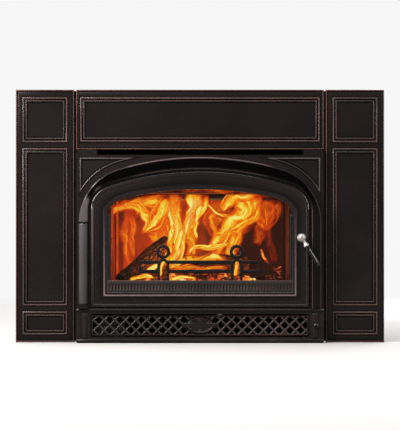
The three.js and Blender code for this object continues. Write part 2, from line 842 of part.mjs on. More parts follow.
function grilleFrame() {
  const opening = rectangle(-frameHalf, frameHalf, frameBottom, frameTop)
  const body = slab(
    rectangle(-castingHalf, castingHalf, groundGap, grilleTop), [opening], grilleFace, grilleBack, 0.8)
  const ledge = (z0, z1) => slab(
    rectangle(-castingHalf, castingHalf, z0, z1), [], grilleFace - ledgeProud, grilleFace + 6, 1.5)
  const seats = [-frameHalf - 1, frameHalf - seatLedge].map((x) =>
    box(x, x + seatLedge + 1, grilleBack - seatLedgeThickness, grilleBack - 1, frameBottom - 1, frameTop + 1))
  const grooves = [-1, 1].map((sign) => {
    const x = sign * (castingHalf - grooveInset)
    return box(
      x - grooveWidth / 2, x + grooveWidth / 2, grilleFace - 1, grilleFace + grooveDepth,
      groundGap + bottomLedge + 3, grilleTop - topLedge - 3)
  })
  const pinBore = grillePinRadius + clearance
  return cut(
    join(body, ledge(grilleTop - topLedge, grilleTop), ledge(groundGap, groundGap + bottomLedge), ...seats),
    ...grooves,
    barZ(grilleAxisX, grilleAxisY, pinBore, grilleTop - grillePinReach - clearance, grilleTop + 1),
    barZ(grilleAxisX, grilleAxisY, pinBore, groundGap - 1, groundGap + grillePinReach + clearance),
    barY(
      knobX, knobZ, knobShankRadius + clearance, grilleFace - 1,
      grilleFace + knobShankReach + clearance))
}
place('grille_frame', grilleFrame(), enamel, grille)

// A diamond hole kept inside the lattice's border, or nothing if too little of it is left.
function latticeHoleAt(x, z, halfX, z0, z1) {
  const corners = [
    point(x + latticeHole, z), point(x, z + latticeHole), point(x - latticeHole, z),
    point(x, z - latticeHole),
  ]
  const limits = [
    (p) => p.x + halfX, (p) => halfX - p.x, (p) => p.y - z0, (p) => z1 - p.y,
  ]
  const kept = limits.reduce((outline, room) => outline.flatMap((p, i) => {
    const next = outline[(i + 1) % outline.length]
    const crossing = room(p) * room(next) < 0
      ? [p.clone().lerp(next, room(p) / (room(p) - room(next)))]
      : []
    return room(p) >= 0 ? [p, ...crossing] : crossing
  }), corners)
  return kept.length > 2 && Math.abs(THREE.ShapeUtils.area(kept)) > smallestHole ? kept : null
}

function grilleLattice() {
  const half = frameHalf - latticeGap
  const bottom = frameBottom + latticeGap
  const top = frameTop - latticeGap
  const middle = (bottom + top) / 2
  const holes = []
  const columns = Math.ceil(half / latticePitchX)
  const rows = Math.ceil((top - bottom) / latticePitchZ) + 1
  for (let row = -rows; row <= rows; row++) {
    const shift = row % 2 === 0 ? 0 : 0.5
    for (let column = -columns - 1; column <= columns; column++) {
      const x = (column + shift) * latticePitchX
      const z = middle + row * latticePitchZ / 2
      const hole = latticeHoleAt(
        x, z, half - latticeBorder, bottom + latticeBorder, top - latticeBorder)
      const onOval = Math.hypot(x / ovalHalfWidth, (z - middle) / ovalHalfHeight) < 1
      if (hole && !onOval) holes.push(hole)
    }
  }
  const net = cut(
    slab(rectangle(-half, half, bottom, top), [], latticeFront, latticeBack),
    ...holes.map((hole) => slab(hole, [], latticeFront - 1, latticeBack + 1)))
  const oval = ellipse(ovalHalfWidth, ovalHalfHeight, middle)
  const field = ellipse(ovalHalfWidth - ovalBead, ovalHalfHeight - ovalBead, middle)
  const straps = rectangle(
    -ovalHalfWidth - latticePitchX / 2, ovalHalfWidth + latticePitchX / 2,
    middle - strapHalfHeight, middle + strapHalfHeight)
  return join(
    net,
    slab(oval, [], latticeFront - 1, latticeBack),
    slab(oval, [field], latticeFront - ovalRise, latticeFront + 2),
    slab(straps, [], latticeFront - 0.6, latticeBack))
}
place('grille_lattice', grilleLattice(), enamel, grille)

place('grille_knob', turnedY([
  [0, grilleFace - knobReach], [knobRadius * 0.55, grilleFace - knobReach + 0.8],
  [knobRadius, grilleFace - knobReach * 0.72], [knobRadius * 0.9, grilleFace - knobReach * 0.45],
  [knobRadius * 0.4, grilleFace - knobReach * 0.3], [knobRadius * 0.75, grilleFace - 2.4],
  [knobRadius * 0.8, grilleFace - clearance], [knobShankRadius, grilleFace - clearance],
  [knobShankRadius, grilleFace + knobShankReach], [0, grilleFace + knobShankReach],
], knobX, knobZ), darkEnamel, grille)
place('grille_pin_top', barZ(
  grilleAxisX, grilleAxisY, grillePinRadius, grilleTop - grillePinReach,
  castingBottom + grillePinSocket - clearance), steel)
place('grille_pin_bottom', barZ(
  grilleAxisX, grilleAxisY, grillePinRadius, clearance, groundGap + grillePinReach), steel)

// ---------------------------------------------------------------- base and jacket
// The plan of the jacket, with its rear corners cut off.
function jacketPlan(half, back, front) {
  return [
    point(-half, front), point(half, front), point(half, back - jacketCorner),
    point(half - jacketCornerRun, back), point(-half + jacketCornerRun, back),
    point(-half, back - jacketCorner),
  ]
}

const wing = castingHalf - wingInset
const basePlan = [
  point(-wing, grilleFace), point(wing, grilleFace), point(wing, -plateStep),
  ...jacketPlan(jacketHalfWidth, jacketBack, -plateStep).slice(1), point(-jacketHalfWidth, -plateStep),
  point(-wing, -plateStep),
]
place('base_plate', cut(
  prism(basePlan, [], 0, baseThickness),
  barZ(grilleAxisX, grilleAxisY, grillePinRadius + clearance, -1, baseThickness + 1)), blackSheet)

function jacketWrap() {
  const outer = jacketPlan(jacketHalfWidth, jacketBack, castingBack + clearance)
  const inner = jacketPlan(jacketHalfWidth - jacketSheet, jacketBack - jacketSheet, castingBack - 5)
  const bottom = baseThickness + clearance
  return cut(prism(outer, [], bottom, castingTop), prism(inner, [], bottom - 1, castingTop + 1))
}
place('jacket_wrap', jacketWrap(), galvanised)
place('jacket_top', prism(
  jacketPlan(jacketHalfWidth, jacketBack, strapThickness + 2 * clearance),
  [circle(0, flueY, flueRadius + flueWall + 1.5)], jacketTop, jacketTop + jacketSheet), galvanised)

// ---------------------------------------------------------------- firebox
const airHole = (z0, z1) => box(
  leverX - airHoleWidth / 2, leverX + airHoleWidth / 2, fireboxFront + airHoleSetback,
  fireboxFront + airHoleSetback + airHoleDepth, z0, z1)

place('firebox_floor', cut(
  box(-fireboxHalf, fireboxHalf, fireboxFront, fireboxBack, fireboxBottom, fireboxFloorTop),
  airHole(fireboxBottom - 1, fireboxFloorTop + 1)), blackSheet)
const shellBottom = fireboxFloorTop + clearance
place('firebox_shell', cut(
  box(-fireboxHalf, fireboxHalf, fireboxFront, fireboxBack, shellBottom, fireboxTop),
  box(
    -fireboxHalf + fireboxSheet, fireboxHalf - fireboxSheet, fireboxFront - 1,
    fireboxBack - fireboxSheet, shellBottom - 1, fireboxTop + 1)), blackSheet)
const flueHole = circle(0, flueY, flueRadius + 1)
const crownPlate = rectangle(-fireboxHalf, fireboxHalf, fireboxFront, fireboxBack)
place('firebox_top', prism(
  crownPlate, [flueHole], fireboxTop + clearance, fireboxTop + clearance + fireboxSheet), blackSheet)

const collarBottom = fireboxTop + 2 * clearance + fireboxSheet
place('flue_collar', new THREE.LatheGeometry([
  point(flueRadius, collarBottom), point(flueFlange, collarBottom),
  point(flueFlange, collarBottom + flueFlangeThickness),
  point(flueRadius + flueWall, collarBottom + flueFlangeThickness),
  point(flueRadius + flueWall, flueTop), point(flueRadius, flueTop), point(flueRadius, collarBottom),
], 32).rotateX(Math.PI / 2).translate(0, flueY, 0), blackSheet)

place('firebox_stand', box(
  -fireboxHalf + standInset, fireboxHalf - standInset, standY, standY + standThickness,
  baseThickness + clearance, fireboxBottom - clearance), blackSheet)

// Firebrick lining
const liningHalf = fireboxHalf - fireboxSheet - clearance
const brickHalf = liningHalf - brickThickness
const liningBack = fireboxBack - fireboxSheet - clearance
const wallTop = fireboxTop - smokeHeight
for (const [side, sign] of [['left', -1], ['right', 1]]) {
  const ends = [sign * brickHalf, sign * liningHalf].sort((a, b) => a - b)
  place(`brick_${side}`, box(
    ...ends, fireboxFront + clearance, liningBack, fireboxFloorTop + clearance, wallTop), firebrick)
}
const between = brickHalf - clearance
place('brick_floor', box(
  -between, between, floorBrickFront, liningBack, fireboxFloorTop + clearance, hearthTop), firebrick)
place('brick_back', box(
  -between, between, liningBack - brickThickness, liningBack, hearthTop + clearance, wallTop), firebrick)
place('baffle_board', box(
  -liningHalf, liningHalf, baffleFront, liningBack, wallTop + clearance,
  wallTop + clearance + baffleThickness), firebrick)
airTubeY.forEach((y, i) => {
  const z = wallTop - airTubeRadius - 2
  place(`air_tube_${i + 1}`, barX(y, z, airTubeRadius, -between, between), steel)
})

// ---------------------------------------------------------------- andirons, logs and embers
function andironRack() {
  const foot = hearthTop + clearance
  const front = floorBrickFront + rackFrontGap
  const back = front + rackDepth
  const bars = [-1, 1].flatMap((sign) => {
    const x = sign * andironX
    const outerLeg = legSpread + legWidth / 2
    const innerLeg = legSpread - legWidth / 2
    const archSpring = legArchTop - outerLeg
    const legs = [
      point(x + outerLeg, foot), ...arc(x, archSpring, outerLeg, 0, Math.PI, 10), point(x - outerLeg, foot),
      point(x - innerLeg, foot), ...arc(x, archSpring, innerLeg, Math.PI, 0, 10), point(x + innerLeg, foot),
    ]
    const loopInner = sign * (andironX + legSpread)
    const loopOuter = sign * railEnd
    const [left, right] = [loopInner, loopOuter].sort((a, b) => a - b)
    const rail = (z) => box(left, right, front + 1, back - 1, z - railWidth / 2, z + railWidth / 2)
    const post = box(
      loopOuter - (sign > 0 ? railPost : 0), loopOuter + (sign > 0 ? 0 : railPost), front + 1, back - 1,
      railLowerZ, railUpperZ)
    return [
      slab(legs, [], front, back, 1.2),
      slab(circle(x, ringZ, ringOuter), [circle(x, ringZ, ringInner)], front, back, 1.2),
      rail(railUpperZ), rail(railLowerZ), post,
    ]
  })
  const span = andironX - legSpread
  const middleRails = [railUpperZ, railLowerZ].map((z) =>
    box(-span, span, front + 1, back - 1, z - railWidth / 2, z + railWidth / 2))
  return join(...bars, ...middleRails)
}
place('andiron_rack', andironRack(), castIron)

// A log on a surface at z = level, with a slightly uneven round section.
function log({ leftShare, leftY, rightShare, rightY, height, rise, radius, phase }, level) {
  const start = new THREE.Vector3(leftShare * brickHalf, leftY, level + height)
  const end = new THREE.Vector3(rightShare * brickHalf, rightY, level + height + rise)
  const length = start.distanceTo(end)
  const profile = [0, 0.3, 0.65, 1].map((share, i) =>
    point(radius * (1 - 0.05 * ((i + phase) % 2)), share * length))
  const turn = new THREE.Quaternion().setFromUnitVectors(
    new THREE.Vector3(0, 1, 0), end.sub(start).normalize())
  return new THREE.LatheGeometry([point(0, 0), ...profile, point(0, length)], 12)
    .applyQuaternion(turn).translate(start.x, start.y, start.z)
}

const bedTop = hearthTop + bedHeight
const bedLeft = bedLeftShare * brickHalf
const bedRight = bedRightShare * brickHalf
place('ember_bed', slab([
  point(bedLeft, hearthTop + clearance), point(bedRight, hearthTop + clearance),
  point(bedRight - bedShoulder, bedTop - bedShoulder), point(bedPeak, bedTop),
  point(-bedPeak, bedTop), point(bedLeft + bedShoulder, bedTop - bedShoulder),
], [], floorBrickFront + bedFront, liningBack - brickThickness - bedBackGap), ember)
place('log_leaning', log(logLeaning, hearthTop), wood)
place('log_back', log(logBack, bedTop), wood)
place('log_middle', log(logMiddle, bedTop), wood)
place('log_right', log(logRight, hearthTop), wood)

// ---------------------------------------------------------------- air control
const leverTop = frameTop - 2 * clearance
const leverBottom = leverTop - leverThickness
const ductBottom = leverTop + shutterThickness + 2 * clearance
const ductFront = fireboxFront + ductSetback
const ductBack = ductFront + shutterDepth + 2 * (ductWall + clearance)
const shutterFront = ductFront + ductWall + clearance
place('air_shutter', box(
  leverX - shutterWidth / 2, leverX + shutterWidth / 2, shutterFront, shutterFront + shutterDepth,
  leverTop + clearance, leverTop + clearance + shutterThickness), steel)
place('air_lever', join(
  box(
    leverX - leverWidth / 2, leverX + leverWidth / 2, latticeBack - leverReach, shutterFront + leverShank,
    leverBottom, leverTop),
  box(
    leverX - leverWidth / 2 - 2, leverX + leverWidth / 2 + 2, latticeBack - leverReach,
    latticeBack - leverReach + 3, leverBottom, leverTop)), nickel)

// A duct under the firebox floor guides the shutter between two lipped walls.
function airDuct() {
  const half = shutterWidth / 2 + airTravel + 2
  const lipBottom = leverBottom - 1
  const body = box(leverX - half, leverX + half, ductFront, ductBack, lipBottom, fireboxBottom - clearance)
  const track = box(
    leverX - half - 1, leverX + half + 1, ductFront + ductWall, ductBack - ductWall,
    leverTop, ductBottom)
  const mouth = box(
    leverX - half - 1, leverX + half + 1, ductFront + ductWall + 3, ductBack - ductWall - 3,
    lipBottom - 1, leverTop + 1)
  const slot = box(
    leverX - airTravel - leverWidth / 2 - 1, leverX + airTravel + leverWidth / 2 + 1, ductFront - 1,
    ductFront + ductWall + 4, lipBottom - 1, leverTop + 0.2)
  return cut(body, track, mouth, slot, airHole(ductBottom - 1, fireboxBottom + 1))
}
place('air_duct', airDuct(), blackSheet)

// ---------------------------------------------------------------- fan
const fanZ = baseThickness + clearance + fanSheet + fanHousingGap + fanRadius
function fanRotor() {
  const teeth = Array.from({ length: fanBlades }, (_, i) => i * 2 * Math.PI / fanBlades)
  const pitch = 2 * Math.PI / fanBlades
  const outline = teeth.flatMap((angle) => [
    [fanRadius, angle], [fanRadius, angle + pitch * 0.3],
    [fanRadius - fanBladeDepth, angle + pitch * 0.5], [fanRadius - fanBladeDepth, angle + pitch * 0.85],
  ].map(([r, a]) => point(r * Math.cos(a), r * Math.sin(a))))
  const drum = new THREE.ExtrudeGeometry(new THREE.Shape(outline), { depth: fanLength, bevelEnabled: false })
  drum.rotateY(Math.PI / 2).translate(-fanLength / 2, fanY, fanZ)
  return join(drum, barX(
    fanY, fanZ, fanShaftRadius, -fanLength / 2 - fanShaftTail, fanLength / 2 + fanShaftDrive))
}
place('fan_rotor', fanRotor(), galvanised)

// The housing: a floor, a curved back, an outlet above and two end plates with shaft holes.
function fanHousing() {
  const inner = fanRadius + fanHousingGap
  const outer = inner + fanSheet
  const half = fanLength / 2 + fanEndGap
  const bottom = fanZ - outer
  const back = fanY + fanOutletLength
  const wallZ = fanZ + fanIntakeLift
  const volute = [
    point(fanY - outer, wallZ), ...arc(fanY, fanZ, outer, Math.PI, Math.PI * 1.5, 6), point(back, bottom),
    point(back, bottom + fanSheet), ...arc(fanY, fanZ, inner, Math.PI * 1.5, Math.PI, 6),
    point(fanY - inner, wallZ),
  ]
  const cover = [
    point(fanY, fanZ + inner), point(back, fanZ + inner), point(back, fanZ + outer),
    point(fanY - fanCoverReach, fanZ + outer), point(fanY - fanCoverReach, fanZ + inner),
  ]
  const along = (outline, x0, x1) => {
    const shape = new THREE.Shape(outline)
    const sheet = new THREE.ExtrudeGeometry(shape, { depth: x1 - x0, bevelEnabled: false })
    return sheet.applyMatrix4(new THREE.Matrix4().makeBasis(
      new THREE.Vector3(0, 1, 0), new THREE.Vector3(0, 0, 1), new THREE.Vector3(1, 0, 0),
    )).translate(x0, 0, 0)
  }
  const ends = [-half - fanSheet, half].map((x) =>
    box(x, x + fanSheet, fanY - outer, back, bottom, fanZ + outer))
  const bores = barX(fanY, fanZ, fanShaftRadius + clearance, -half - 9, half + 9)
  return cut(join(along(volute, -half - 1, half + 1), along(cover, -half - 1, half + 1), ...ends), bores)
}
place('fan_housing', fanHousing(), blackSheet)
const motorStart = fanLength / 2 + fanEndGap + fanSheet + clearance
place('fan_motor', cut(
  join(
    barX(fanY, fanZ, motorRadius, motorStart, motorStart + motorLength, 20),
    box(
      motorStart + motorFootInset, motorStart + motorLength - motorFootInset, fanY - motorFootHalf,
      fanY + motorFootHalf,
      baseThickness + clearance, fanZ)),
  barX(
    fanY, fanZ, fanShaftRadius + clearance, motorStart - 1,
    fanLength / 2 + fanShaftDrive + clearance)), blackSheet)

// ---------------------------------------------------------------- fan controls and power inlet
const controlX = -(jacketHalfWidth - controlInset)
const controlFront = grilleBack + controlSetback
const controlZ = baseThickness + clearance + controlHeight * controlShare
const controlBack = controlFront + controlSheet
const controlBottom = baseThickness + clearance
const fanKnobX = controlX - controlWidth / 4
const rockerX = controlX + controlWidth / 4
place('control_plate', join(
  cut(
    box(
      controlX - controlWidth / 2, controlX + controlWidth / 2, controlFront, controlBack,
      controlBottom, controlBottom + controlHeight),
    barY(fanKnobX, controlZ, fanKnobShaft + clearance, controlFront - 1, controlBack + 1),
    box(
      rockerX - rockerWidth / 2 - clearance, rockerX + rockerWidth / 2 + clearance,
      controlFront - 1, controlBack + 1, controlZ - rockerHeight / 2 - rockerSwing,
      controlZ + rockerHeight / 2 + rockerSwing)),
  box(
    controlX - controlWidth / 2, controlX + controlWidth / 2, controlFront,
    controlFront + controlFootDepth, controlBottom, controlBottom + controlSheet)), blackSheet)
const fanKnobFront = controlFront - clearance - fanKnobLength
place('fan_speed_knob', turnedY([
  [0, fanKnobFront], [fanKnobRadius - 1.5, fanKnobFront], [fanKnobRadius, fanKnobFront + 1.5],
  [fanKnobRadius, controlFront - clearance], [fanKnobShaft, controlFront - clearance],
  [fanKnobShaft, controlBack + fanKnobShaftReach], [0, controlBack + fanKnobShaftReach],
], fanKnobX, controlZ), blackPlastic)
place('fan_switch', slab(
  rectangle(
    rockerX - rockerWidth / 2, rockerX + rockerWidth / 2, controlZ - rockerHeight / 2,
    controlZ + rockerHeight / 2), [], controlFront - rockerReach, controlBack + rockerReach), blackPlastic)
const inletBack = jacketBack + clearance
const inletBody = slab(
  rectangle(
    inletX - inletWidth / 2, inletX + inletWidth / 2, inletZ - inletHeight / 2, inletZ + inletHeight / 2),
  [], inletBack, inletBack + inletDepth, 1)
const inletRecess = box(
  inletX - inletWidth / 2 + inletWall, inletX + inletWidth / 2 - inletWall, inletBack + inletWall + 1,
  inletBack + inletDepth + 1, inletZ - inletHeight / 2 + inletWall, inletZ + inletHeight / 2 - inletWall)
place('power_inlet', cut(inletBody, inletRecess), blackPlastic)

export default insert
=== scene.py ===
"""Looks for a cast-iron fireplace insert: brown-black enamelled castings, an arched door with a fire
behind its glass, a lattice grille, and plain sheet metal behind the surround.

Points are worked out in millimetres and put into the meshes in metres. Materials, lamps and the camera
are in metres. X runs to the right, Y into the fireplace and Z up, as in the frame."""

import math

import bmesh
import bpy
import numpy as np
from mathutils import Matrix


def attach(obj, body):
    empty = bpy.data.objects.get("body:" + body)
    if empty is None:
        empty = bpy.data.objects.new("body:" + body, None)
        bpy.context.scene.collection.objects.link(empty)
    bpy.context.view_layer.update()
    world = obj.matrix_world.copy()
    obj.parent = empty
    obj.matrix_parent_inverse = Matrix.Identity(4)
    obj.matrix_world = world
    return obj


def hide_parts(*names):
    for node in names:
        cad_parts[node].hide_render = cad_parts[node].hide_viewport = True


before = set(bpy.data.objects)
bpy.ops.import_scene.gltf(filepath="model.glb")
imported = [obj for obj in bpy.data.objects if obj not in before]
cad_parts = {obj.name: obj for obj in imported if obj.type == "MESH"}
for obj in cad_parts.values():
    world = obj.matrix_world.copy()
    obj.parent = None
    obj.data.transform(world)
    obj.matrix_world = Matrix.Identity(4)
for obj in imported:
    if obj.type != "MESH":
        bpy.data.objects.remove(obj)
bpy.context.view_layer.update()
scene = bpy.context.scene
chance = np.random.default_rng(11)


# ------------------------------------------------------------------ shader maths
class Value:
    """A socket whose value varies over a surface. Arithmetic on it adds Math nodes."""

    def __init__(self, finish, socket):
        self.finish, self.socket = finish, socket

    def math(self, operation, *others):
        return self.finish.number("Math", self, *others, operation=operation)

    def __add__(self, other):
        return self.math("ADD", other)

    def __sub__(self, other):
        return self.math("SUBTRACT", other)

    def __rsub__(self, other):
        return self.finish.number("Math", other, self, operation="SUBTRACT")

    def __mul__(self, other):
        return self.math("MULTIPLY", other)

    def __pow__(self, other):
        return self.math("POWER", other)

    def __abs__(self):
        return self.math("ABSOLUTE")

    __radd__ = __add__
    __rmul__ = __mul__

    def between(self, low, high, bottom=0.0, top=1.0):
        """The bottom value below low, the top value above high, and a smooth step between them."""
        return self.finish.number(
            "MapRange", self, low, high, bottom, top, interpolation_type="SMOOTHSTEP")


class Finish:
    """A procedural material, or a world, and the nodes that it is made of."""

    def __init__(self, name, kind="materials"):
        self.made = getattr(bpy.data, kind).new(name)
        self.made.use_nodes = True
        self.tree = self.made.node_tree
        self.tree.nodes.clear()
        self.place = self.node("TexCoord").outputs["Object"]

    def feed(self, socket, source):
        """Links a socket to its source, or sets it to a number, a vector or a colour."""
        if isinstance(source, Value):
            source = source.socket
        if isinstance(source, bpy.types.NodeSocket):
            self.tree.links.new(source, socket)
        else:
            socket.default_value = (*source, 1.0) if socket.type == "RGBA" else source

    def node(self, kind, *inputs, **named):
        """A node of that kind. Its sockets are fed by place, or by name where the name starts with a
        capital. The other named values are its settings."""
        made = self.tree.nodes.new("ShaderNode" + kind)
        sources = dict(enumerate(inputs))
        for name, value in named.items():
            if name[0].isupper():
                sources[name.replace("_", " ")] = value
            else:
                setattr(made, name, value)
        for key, source in sources.items():
            if source is not None:
                self.feed(made.inputs[key], source)
        return made

    def number(self, kind, *inputs, **named):
        return Value(self, self.node(kind, *inputs, **named).outputs[0])

    def stretch(self, vector, *amount):
        """A vector, each of its parts multiplied."""
        return self.node("VectorMath", vector, amount, operation="MULTIPLY").outputs[0]

    def warped(self, scale, *amount):
        """The place on the surface, moved about by a noise of that scale."""
        colour = self.noise(scale, 3.0, output="Color")
        centred = self.node("VectorMath", colour, (0.5, 0.5, 0.5), operation="SUBTRACT").outputs[0]
        moved = self.stretch(centred, *amount)
        return self.node("VectorMath", self.place, moved, operation="ADD").outputs[0]

    def noise(self, scale, detail=3.0, roughness=0.55, at=None, output="Fac"):
        made = self.node(
            "TexNoise", Vector=at or self.place, Scale=scale, Detail=detail, Roughness=roughness)
        return Value(self, made.outputs[output])

    def cells(self, scale, at=None, feature="F1", output="Distance"):
        made = self.node("TexVoronoi", Vector=at or self.place, Scale=scale, feature=feature)
        return Value(self, made.outputs[output])

    def mark(self, name):
        """The value of a mesh attribute, or nothing where the mesh has none."""
        return Value(self, self.node("Attribute", attribute_name=name).outputs["Fac"])

    def part(self, axis, vector=None):
        return Value(self, self.node("SeparateXYZ", vector or self.place).outputs[axis])

    def vector(self, x, y, z):
        return self.node("CombineXYZ", x, y, z).outputs[0]

    def mix(self, factor, first, second):
        """The first number where factor is 0 and the second where it is 1."""
        return self.number("Mix", factor, None, first, second, data_type="FLOAT")

    def blend(self, factor, first, second):
        """The first colour where factor is 0 and the second where it is 1."""
        made = self.node("Mix", factor, data_type="RGBA")
        self.feed(made.inputs[6], first)
        self.feed(made.inputs[7], second)
        return made.outputs[2]

    def ramp(self, factor, *stops):
        """A colour that runs through stops of (position, colour) as factor rises."""
        made = self.node("ValToRGB", factor)
        elements = made.color_ramp.elements
        for _ in stops[2:]:
            elements.new(0.5)
        for element, (position, colour) in zip(elements, stops):
            element.position, element.color = position, (*colour, 1.0)
        return made.outputs[0]

    def bump(self, height, distance, strength):
        return self.node("Bump", Strength=strength, Distance=distance, Height=height).outputs[0]

    def done(self, **sockets):
        """Finishes the material with a Principled shader, and gives the material back."""
        shader = self.node("BsdfPrincipled", **sockets)
        self.node("OutputMaterial", shader.outputs[0])
        return self.made


# ------------------------------------------------------------------ finishes
def enamel_finish(name, deep, light, edge, roughness, gloss=0.4, coat=0.7):
    """Gloss enamel over cast iron. Painted shade turns it black, with little coat, in the parts marked as
    dark.
    A painted highlight lightens it where it is marked as pale, and a brighter painted glint where it is
    marked as bright. Along the edges that are marked as worn it breaks to a reddish brown."""
    painted_highlight, painted_glint, painted_shade_colour = (0.13, 0.110, 0.113), (0.33, 0.245, 0.22), (0.0012, 0.0008, 0.0008)
    f = Finish(name)
    fine = f.noise(90.0, 2.0)
    ragged = f.mark("worn") * (0.18 + 1.25 * f.noise(6.5, 2.0) + 0.40 * f.noise(70.0, 4.0, 0.7))
    broken = ragged.between(0.42, 1.05)
    dark = f.mark("dark")
    base = f.blend(f.noise(3.0, 3.0).between(0.35, 0.65), deep, light)
    base = f.blend(broken * 0.9, base, edge)
    # Painted light: a painted highlight where marked pale, a painted glint where marked bright, and
    # near-black painted shade where marked dark.
    base = f.blend(f.mark("pale"), base, painted_highlight)
    base = f.blend(f.mark("bright"), base, painted_glint)
    base = f.blend(dark, base, painted_shade_colour)
    return f.done(
        Base_Color=base,
        Roughness=roughness + 0.06 * fine + 0.12 * broken,
        Coat_Weight=(coat - 0.3 * broken) * (1.0 - 0.95 * dark),
        Coat_Roughness=0.11,
        Specular_IOR_Level=gloss,
        Normal=f.bump(0.8 * f.noise(26.0, 1.0) + 0.2 * fine, 0.0003, 0.25))


def iron_finish():
    """Bare iron blued by heat, with a fine sandy skin."""
    f = Finish("blued_iron")
    sand = f.noise(420.0, 4.0, 0.65)
    base = f.blend(f.noise(14.0, 3.0).between(0.35, 0.7), (0.0035, 0.010, 0.019), (0.007, 0.019, 0.034))
    base = f.blend((sand * f.noise(30.0)).between(0.32, 0.5) * 0.5, base, (0.03, 0.018, 0.012))
    return f.done(
        Base_Color=base, Metallic=0.35, Roughness=0.42 + 0.2 * sand, Normal=f.bump(sand, 0.0006, 0.6))


def nickel_finish():
    """Polished nickel with faint rubbing marks."""
    f = Finish("polished_nickel")
    rub = f.noise(60.0, 5.0, 0.7, at=f.stretch(f.place, 1.0, 6.0, 1.0))
    base = f.blend(rub, (0.76, 0.69, 0.65), (0.90, 0.84, 0.80))
    return f.done(
        Base_Color=base, Metallic=0.6, Roughness=0.20 + 0.14 * rub, Normal=f.bump(rub, 0.0002, 0.15))


def steel_finish():
    """Plain steel, drawn along its length and stained here and there."""
    f = Finish("drawn_steel")
    drawn = f.noise(260.0, 4.0, 0.6, at=f.stretch(f.place, 0.08, 1.0, 1.0))
    stain = f.noise(22.0, 4.0)
    base = f.blend(drawn, (0.20, 0.20, 0.21), (0.36, 0.36, 0.37))
    base = f.blend(stain.between(0.55, 0.8) * 0.5, base, (0.12, 0.10, 0.085))
    return f.done(
        Base_Color=base, Metallic=0.9, Roughness=0.32 + 0.18 * stain, Normal=f.bump(drawn, 0.0003, 0.3))


def galvanised_finish():
    """Zinc spangle: flat crystals, each of its own grey and gloss. Painted shade makes it near black and not
    metallic in front and on the jacket's inner face, which lies within these limits on X, on Y, on its
    chamfer and on Z."""
    half_width, back, chamfer, top = 0.3187, 0.3992, 0.4417, 0.5670
    f = Finish("galvanised_sheet")

    def inside(reach, limit, soft=0.0002):
        """1 up to the limit and 0 past it."""
        return 1.0 - reach.between(limit - soft, limit + soft)

    crystal = f.part("X", f.cells(105.0, f.warped(26.0, 0.012, 0.012, 0.012), output="Color"))
    soot = f.noise(5.0, 5.0, 0.6)
    base = f.ramp(
        crystal, (0.0, (0.27, 0.28, 0.29)), (0.5, (0.34, 0.35, 0.36)), (1.0, (0.42, 0.43, 0.44)))
    base = f.blend(soot.between(0.5, 0.75) * 0.55, base, (0.14, 0.125, 0.11))
    x, y = abs(f.part("X")), f.part("Y")
    across_chamfer = x * 0.8612 + y * 0.5081
    # Painted shade: near black on the jacket's inner face and at its front.
    painted = inside(x, half_width) * inside(y, back) * inside(across_chamfer, chamfer, 0.0003)
    painted = painted * inside(f.part("Z"), top)
    painted = painted + (1.0 - y.between(0.0, 0.012)) * (1.0 - painted)
    base = f.blend(painted, base, (0.006, 0.005, 0.005))
    return f.done(
        Base_Color=base, Metallic=0.85 - 0.85 * painted, Roughness=0.38 + 0.12 * crystal + 0.1 * soot,
        Normal=f.bump(crystal + 0.3 * f.noise(420.0, 2.0), 0.0002, 0.25))


def black_sheet_finish(name, dark, pale, rubbed):
    """Steel sheet under matt heat-proof paint, greyed by heat and rubbed."""
    f = Finish(name)
    heat = f.noise(7.0, 4.0)
    base = f.blend(heat.between(0.3, 0.75), dark, pale)
    base = f.blend(f.noise(90.0, 5.0, 0.7).between(0.66, 0.72) * 0.6, base, rubbed)
    return f.done(
        Base_Color=base, Metallic=0.1, Roughness=0.5 + 0.2 * heat,
        Normal=f.bump(f.noise(520.0, 3.0), 0.0003, 0.5))


def brick_finish(name, across, up, pale, dark):
    """Firebrick slabs with narrow joints, pitted and sooted, and darker towards the right."""
    f = Finish(name)
    slabs = f.node(
        "TexBrick", Vector=f.vector(f.part(across), f.part(up), 0.0), offset=0.5, Scale=1.0,
        Color1=(1, 1, 1), Color2=(0.72, 0.72, 0.72), Mortar=(0, 0, 0), Mortar_Size=0.0016,
        Mortar_Smooth=0.35, Bias=0.0, Brick_Width=0.114, Row_Height=0.152)
    tone = f.part("X", slabs.outputs["Color"])
    pits = f.noise(260.0, 5.0, 0.7)
    base = f.blend(tone, dark, pale)
    base = f.blend(f.noise(8.0, 4.0, 0.6).between(0.42, 0.72) * 0.8, base, (0.03, 0.017, 0.012))
    base = f.blend(pits.between(0.3, 0.42), (0.05, 0.03, 0.02), base)
    # Darker towards the right.
    base = f.blend(f.part("X").between(0.0, 0.2) * 0.84, base, (0.03, 0.008, 0.004))
    return f.done(
        Base_Color=base, Roughness=0.92, Specular_IOR_Level=0.2,
        Normal=f.bump(0.8 * tone + 0.2 * pits, 0.0015, 0.7))


